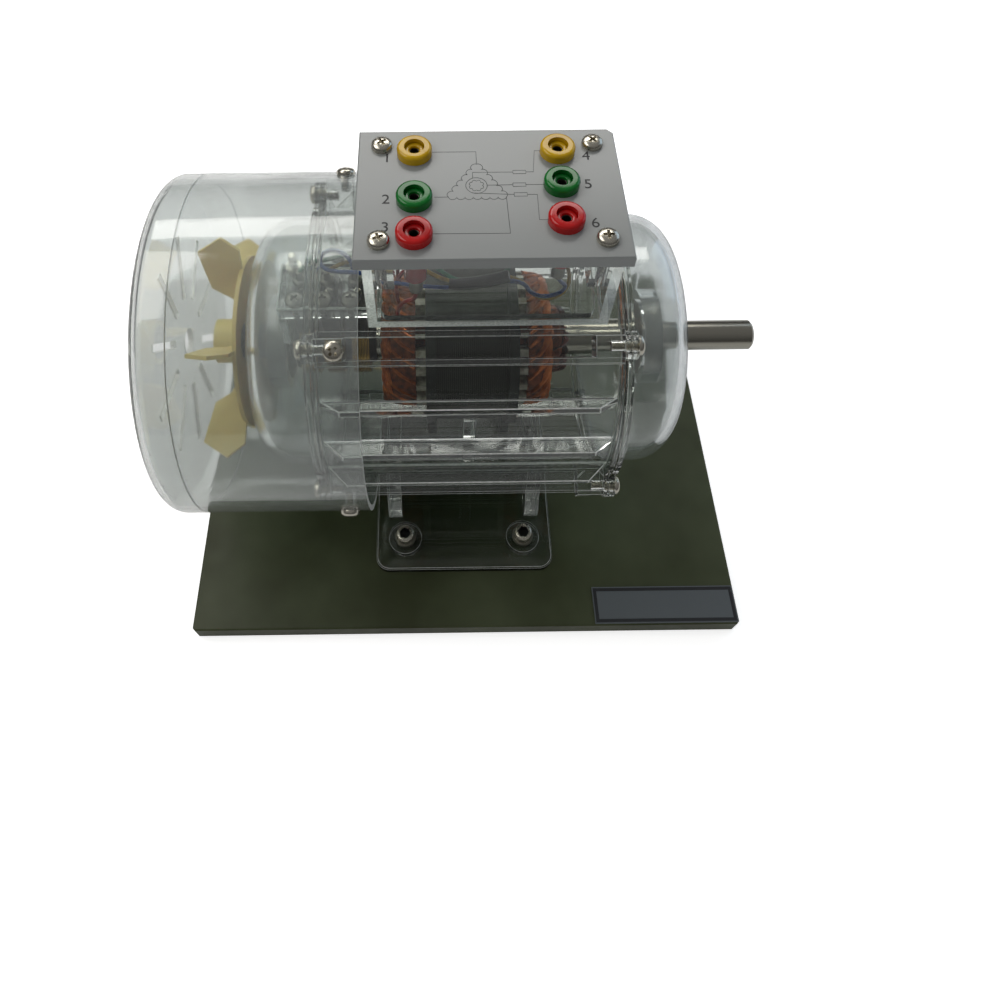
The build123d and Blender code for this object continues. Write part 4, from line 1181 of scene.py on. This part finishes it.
class MOTOR_OT_stator(bpy.types.Operator):
    """Stator core, end plates, cradle, slot liners and outer bearing rings"""

    bl_idname = "motor.stator"
    bl_label = "Stator"

    def execute(self, context):
        dress("stator_core", "stacked_laminations")
        dress("slot_liners", "slot_paper")
        dress_sheets("stator_cradle")
        for side in SIDES:
            dress(f"stator_plate_{side}", "varnished_steel")
            dress(f"bearing_{side}_outer", "race_steel")
        return {"FINISHED"}


class MOTOR_OT_windings(bpy.types.Operator):
    """Wound heads of the stator and rotor windings"""

    bl_idname = "motor.windings"
    bl_label = "Winding heads"

    def execute(self, context):
        scene = context.scene
        for side, span in zip(SIDES, (1.05, 0.95)):
            winding_head(f"stator_head_{side}", f"stator_coils_{side}", scene.motor_stator_winding,
                         radii=(30.4, 35.6), span=span, filling=(29.5, 36.5), wire_finish="enamelled_copper")
            winding_head(f"rotor_head_{side}", f"rotor_coils_{side}", scene.motor_rotor_winding,
                         radii=(12.5, 19.2), span=1.0, filling=(9.8, 19.0), wire_finish="varnished_wire")
        return {"FINISHED"}


class MOTOR_OT_rotor(bpy.types.Operator):
    """Shaft, rotor core, slip rings and inner bearing rings"""

    bl_idname = "motor.rotor"
    bl_label = "Rotor"

    def execute(self, context):
        dress("shaft", "ground_steel")
        dress("rotor_core", "stacked_laminations")
        dress("ring_hub", "dark_phenolic")
        dress("slip_rings", "turned_brass")
        for side in SIDES:
            dress(f"bearing_{side}_inner", "race_steel")
        return {"FINISHED"}


class MOTOR_OT_fan(bpy.types.Operator):
    """Six-bladed fan on its bush"""

    bl_idname = "motor.fan"
    bl_label = "Fan"

    def execute(self, context):
        dress("fan", "moulded_cream")
        dress("fan_bush", "dark_phenolic")
        return {"FINISHED"}


class MOTOR_OT_brushes(bpy.types.Operator):
    """Brush bar, holders, brushes, coil springs, screws and terminals"""

    bl_idname = "motor.brushes"
    bl_label = "Brush gear"

    def execute(self, context):
        dress_sheets("brush_bar", "bar_bracket")
        dress("brush_holders", "dark_phenolic")
        for number, place in enumerate(RING_PLACES, start=1):
            dress(f"brush_{number}", "carbon_brush")
            self.spring(number, place)
        self.screws(context.scene.motor_screws)
        self.nuts()
        return {"FINISHED"}

    def spring(self, number, place):
        """Coil spring between a brush and the bar."""
        node = f"brush_spring_{number}"
        wire, turns, steps = 0.6, 6, 14
        radius = (high(node, 0) - low(node, 0)) / 2 - wire / 2
        bottom, top = low(node, 2), high(node, 2)
        rise = (top - bottom - wire) / (turns * steps)
        path = [
            (place + radius * cos(2 * pi * at / steps), radius * sin(2 * pi * at / steps),
             bottom + wire / 2 + rise * at)
            for at in range(turns * steps + 1)
        ]
        piece = show(wires(f"{node}_look", [path], wire, "nickel_plate"), node)
        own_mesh(piece)

    def screws(self, settings):
        """Pan head screws that hold the brush holders to the bar."""
        head_share, head_height, shank, reach, behind, beside = 0.98, 2.4, 1.6, 7.5, -10, 2
        screw = pan_screw(settings.head / 2 / MM * head_share, head_height, shank, reach)
        places = [((place - beside, behind, BAR_TOP), UP) for place in RING_PLACES]
        mesh = set_on_places("holder_screws", screw, places, "drawn_steel", settings.spin, 9)
        show(mesh, "holder_caps")

    def nuts(self):
        """Hexagonal nuts with crimped lead ends, and the threaded post of the bar's terminal."""
        nut = turned([(0, 0), (3.75, 0), (3.75, 2.3), (3.2, 2.7), (1.9, 2.7), (1.9, 3.4), (1.5, 4.0),
                      (1.5, 7.5), (0, 7.5)], 6)
        places = [((place, CAP_Y, BAR_TOP), UP) for place in RING_PLACES]
        mesh = set_on_places("holder_nuts", nut, places, "drawn_steel", radians(60), 2)
        show(mesh, "holder_caps", stands_for=False)
        place = (midway("bar_terminal", 0), midway("bar_terminal", 1), BAR_TOP)
        height = high("bar_terminal", 2) - BAR_TOP
        post = turned([(0, 0), (3.9, 0), (3.9, 2.8), (2.0, 3.0)] + thread(2.0, 3.2, height - 0.3)
                      + [(1.5, height), (0, height)], 24)
        show(set_on_places("bar_post", post, [(place, UP)], "nickel_plate"), "bar_terminal")


class MOTOR_OT_leads(bpy.types.Operator):
    """Coloured leads from the sockets to the winding and to the brush gear"""

    bl_idname = "motor.leads"
    bl_label = "Leads"

    def execute(self, context):
        show(wires("stator_leads_look", STATOR_ROUTES, LEAD, "wire_red", sides=3), "stator_leads")
        sleeves = ("wire_blue", "wire_yellow", "wire_green")
        show(wires("rotor_leads_look", ROTOR_ROUTES, LEAD, *sleeves, sides=3), "rotor_leads")
        show(wires("lead_sleeve", [SLEEVE_ROUTE], SLEEVE, "wire_black", sides=5), "rotor_leads", False)
        return {"FINISHED"}


class MOTOR_PT_panel(bpy.types.Panel):
    """Lists the motor's settings and the steps that build it"""

    bl_label = "Motor"
    bl_idname = "MOTOR_PT_panel"
    bl_space_type = "VIEW_3D"
    bl_region_type = "UI"
    bl_category = "Motor"

    def draw(self, context):
        layout = self.layout
        for group in SETTINGS:
            box = layout.box()
            values = getattr(context.scene, group)
            for name in values.__annotations__:
                box.prop(values, name)
        for operator in BUILD_STEPS:
            layout.operator(operator.bl_idname)


SETTINGS = {
    "motor_stage": MotorStageSettings,
    "motor_colours": MotorColourSettings,
    "motor_screws": MotorScrewSettings,
    "motor_stator_winding": MotorStatorWindingSettings,
    "motor_rotor_winding": MotorRotorWindingSettings,
    "motor_print": MotorPrintSettings,
}
BUILD_STEPS = (
    MOTOR_OT_stage, MOTOR_OT_board, MOTOR_OT_case, MOTOR_OT_screws, MOTOR_OT_cowl, MOTOR_OT_terminals,
    MOTOR_OT_stator, MOTOR_OT_windings, MOTOR_OT_rotor, MOTOR_OT_fan, MOTOR_OT_brushes, MOTOR_OT_leads,
)
CLASSES = (*SETTINGS.values(), *BUILD_STEPS, MOTOR_PT_panel)


def register():
    for each in CLASSES:
        bpy.utils.register_class(each)
    for group, kind in SETTINGS.items():
        setattr(bpy.types.Scene, group, bpy.props.PointerProperty(type=kind))


def unregister():
    for group in SETTINGS:
        delattr(bpy.types.Scene, group)
    for each in reversed(CLASSES):
        bpy.utils.unregister_class(each)


def main():
    """Builds the whole motor."""
    register()
    for operator in BUILD_STEPS:
        family, name = operator.bl_idname.split(".")
        getattr(getattr(bpy.ops, family), name)()


if __name__ == "__main__":
    main()
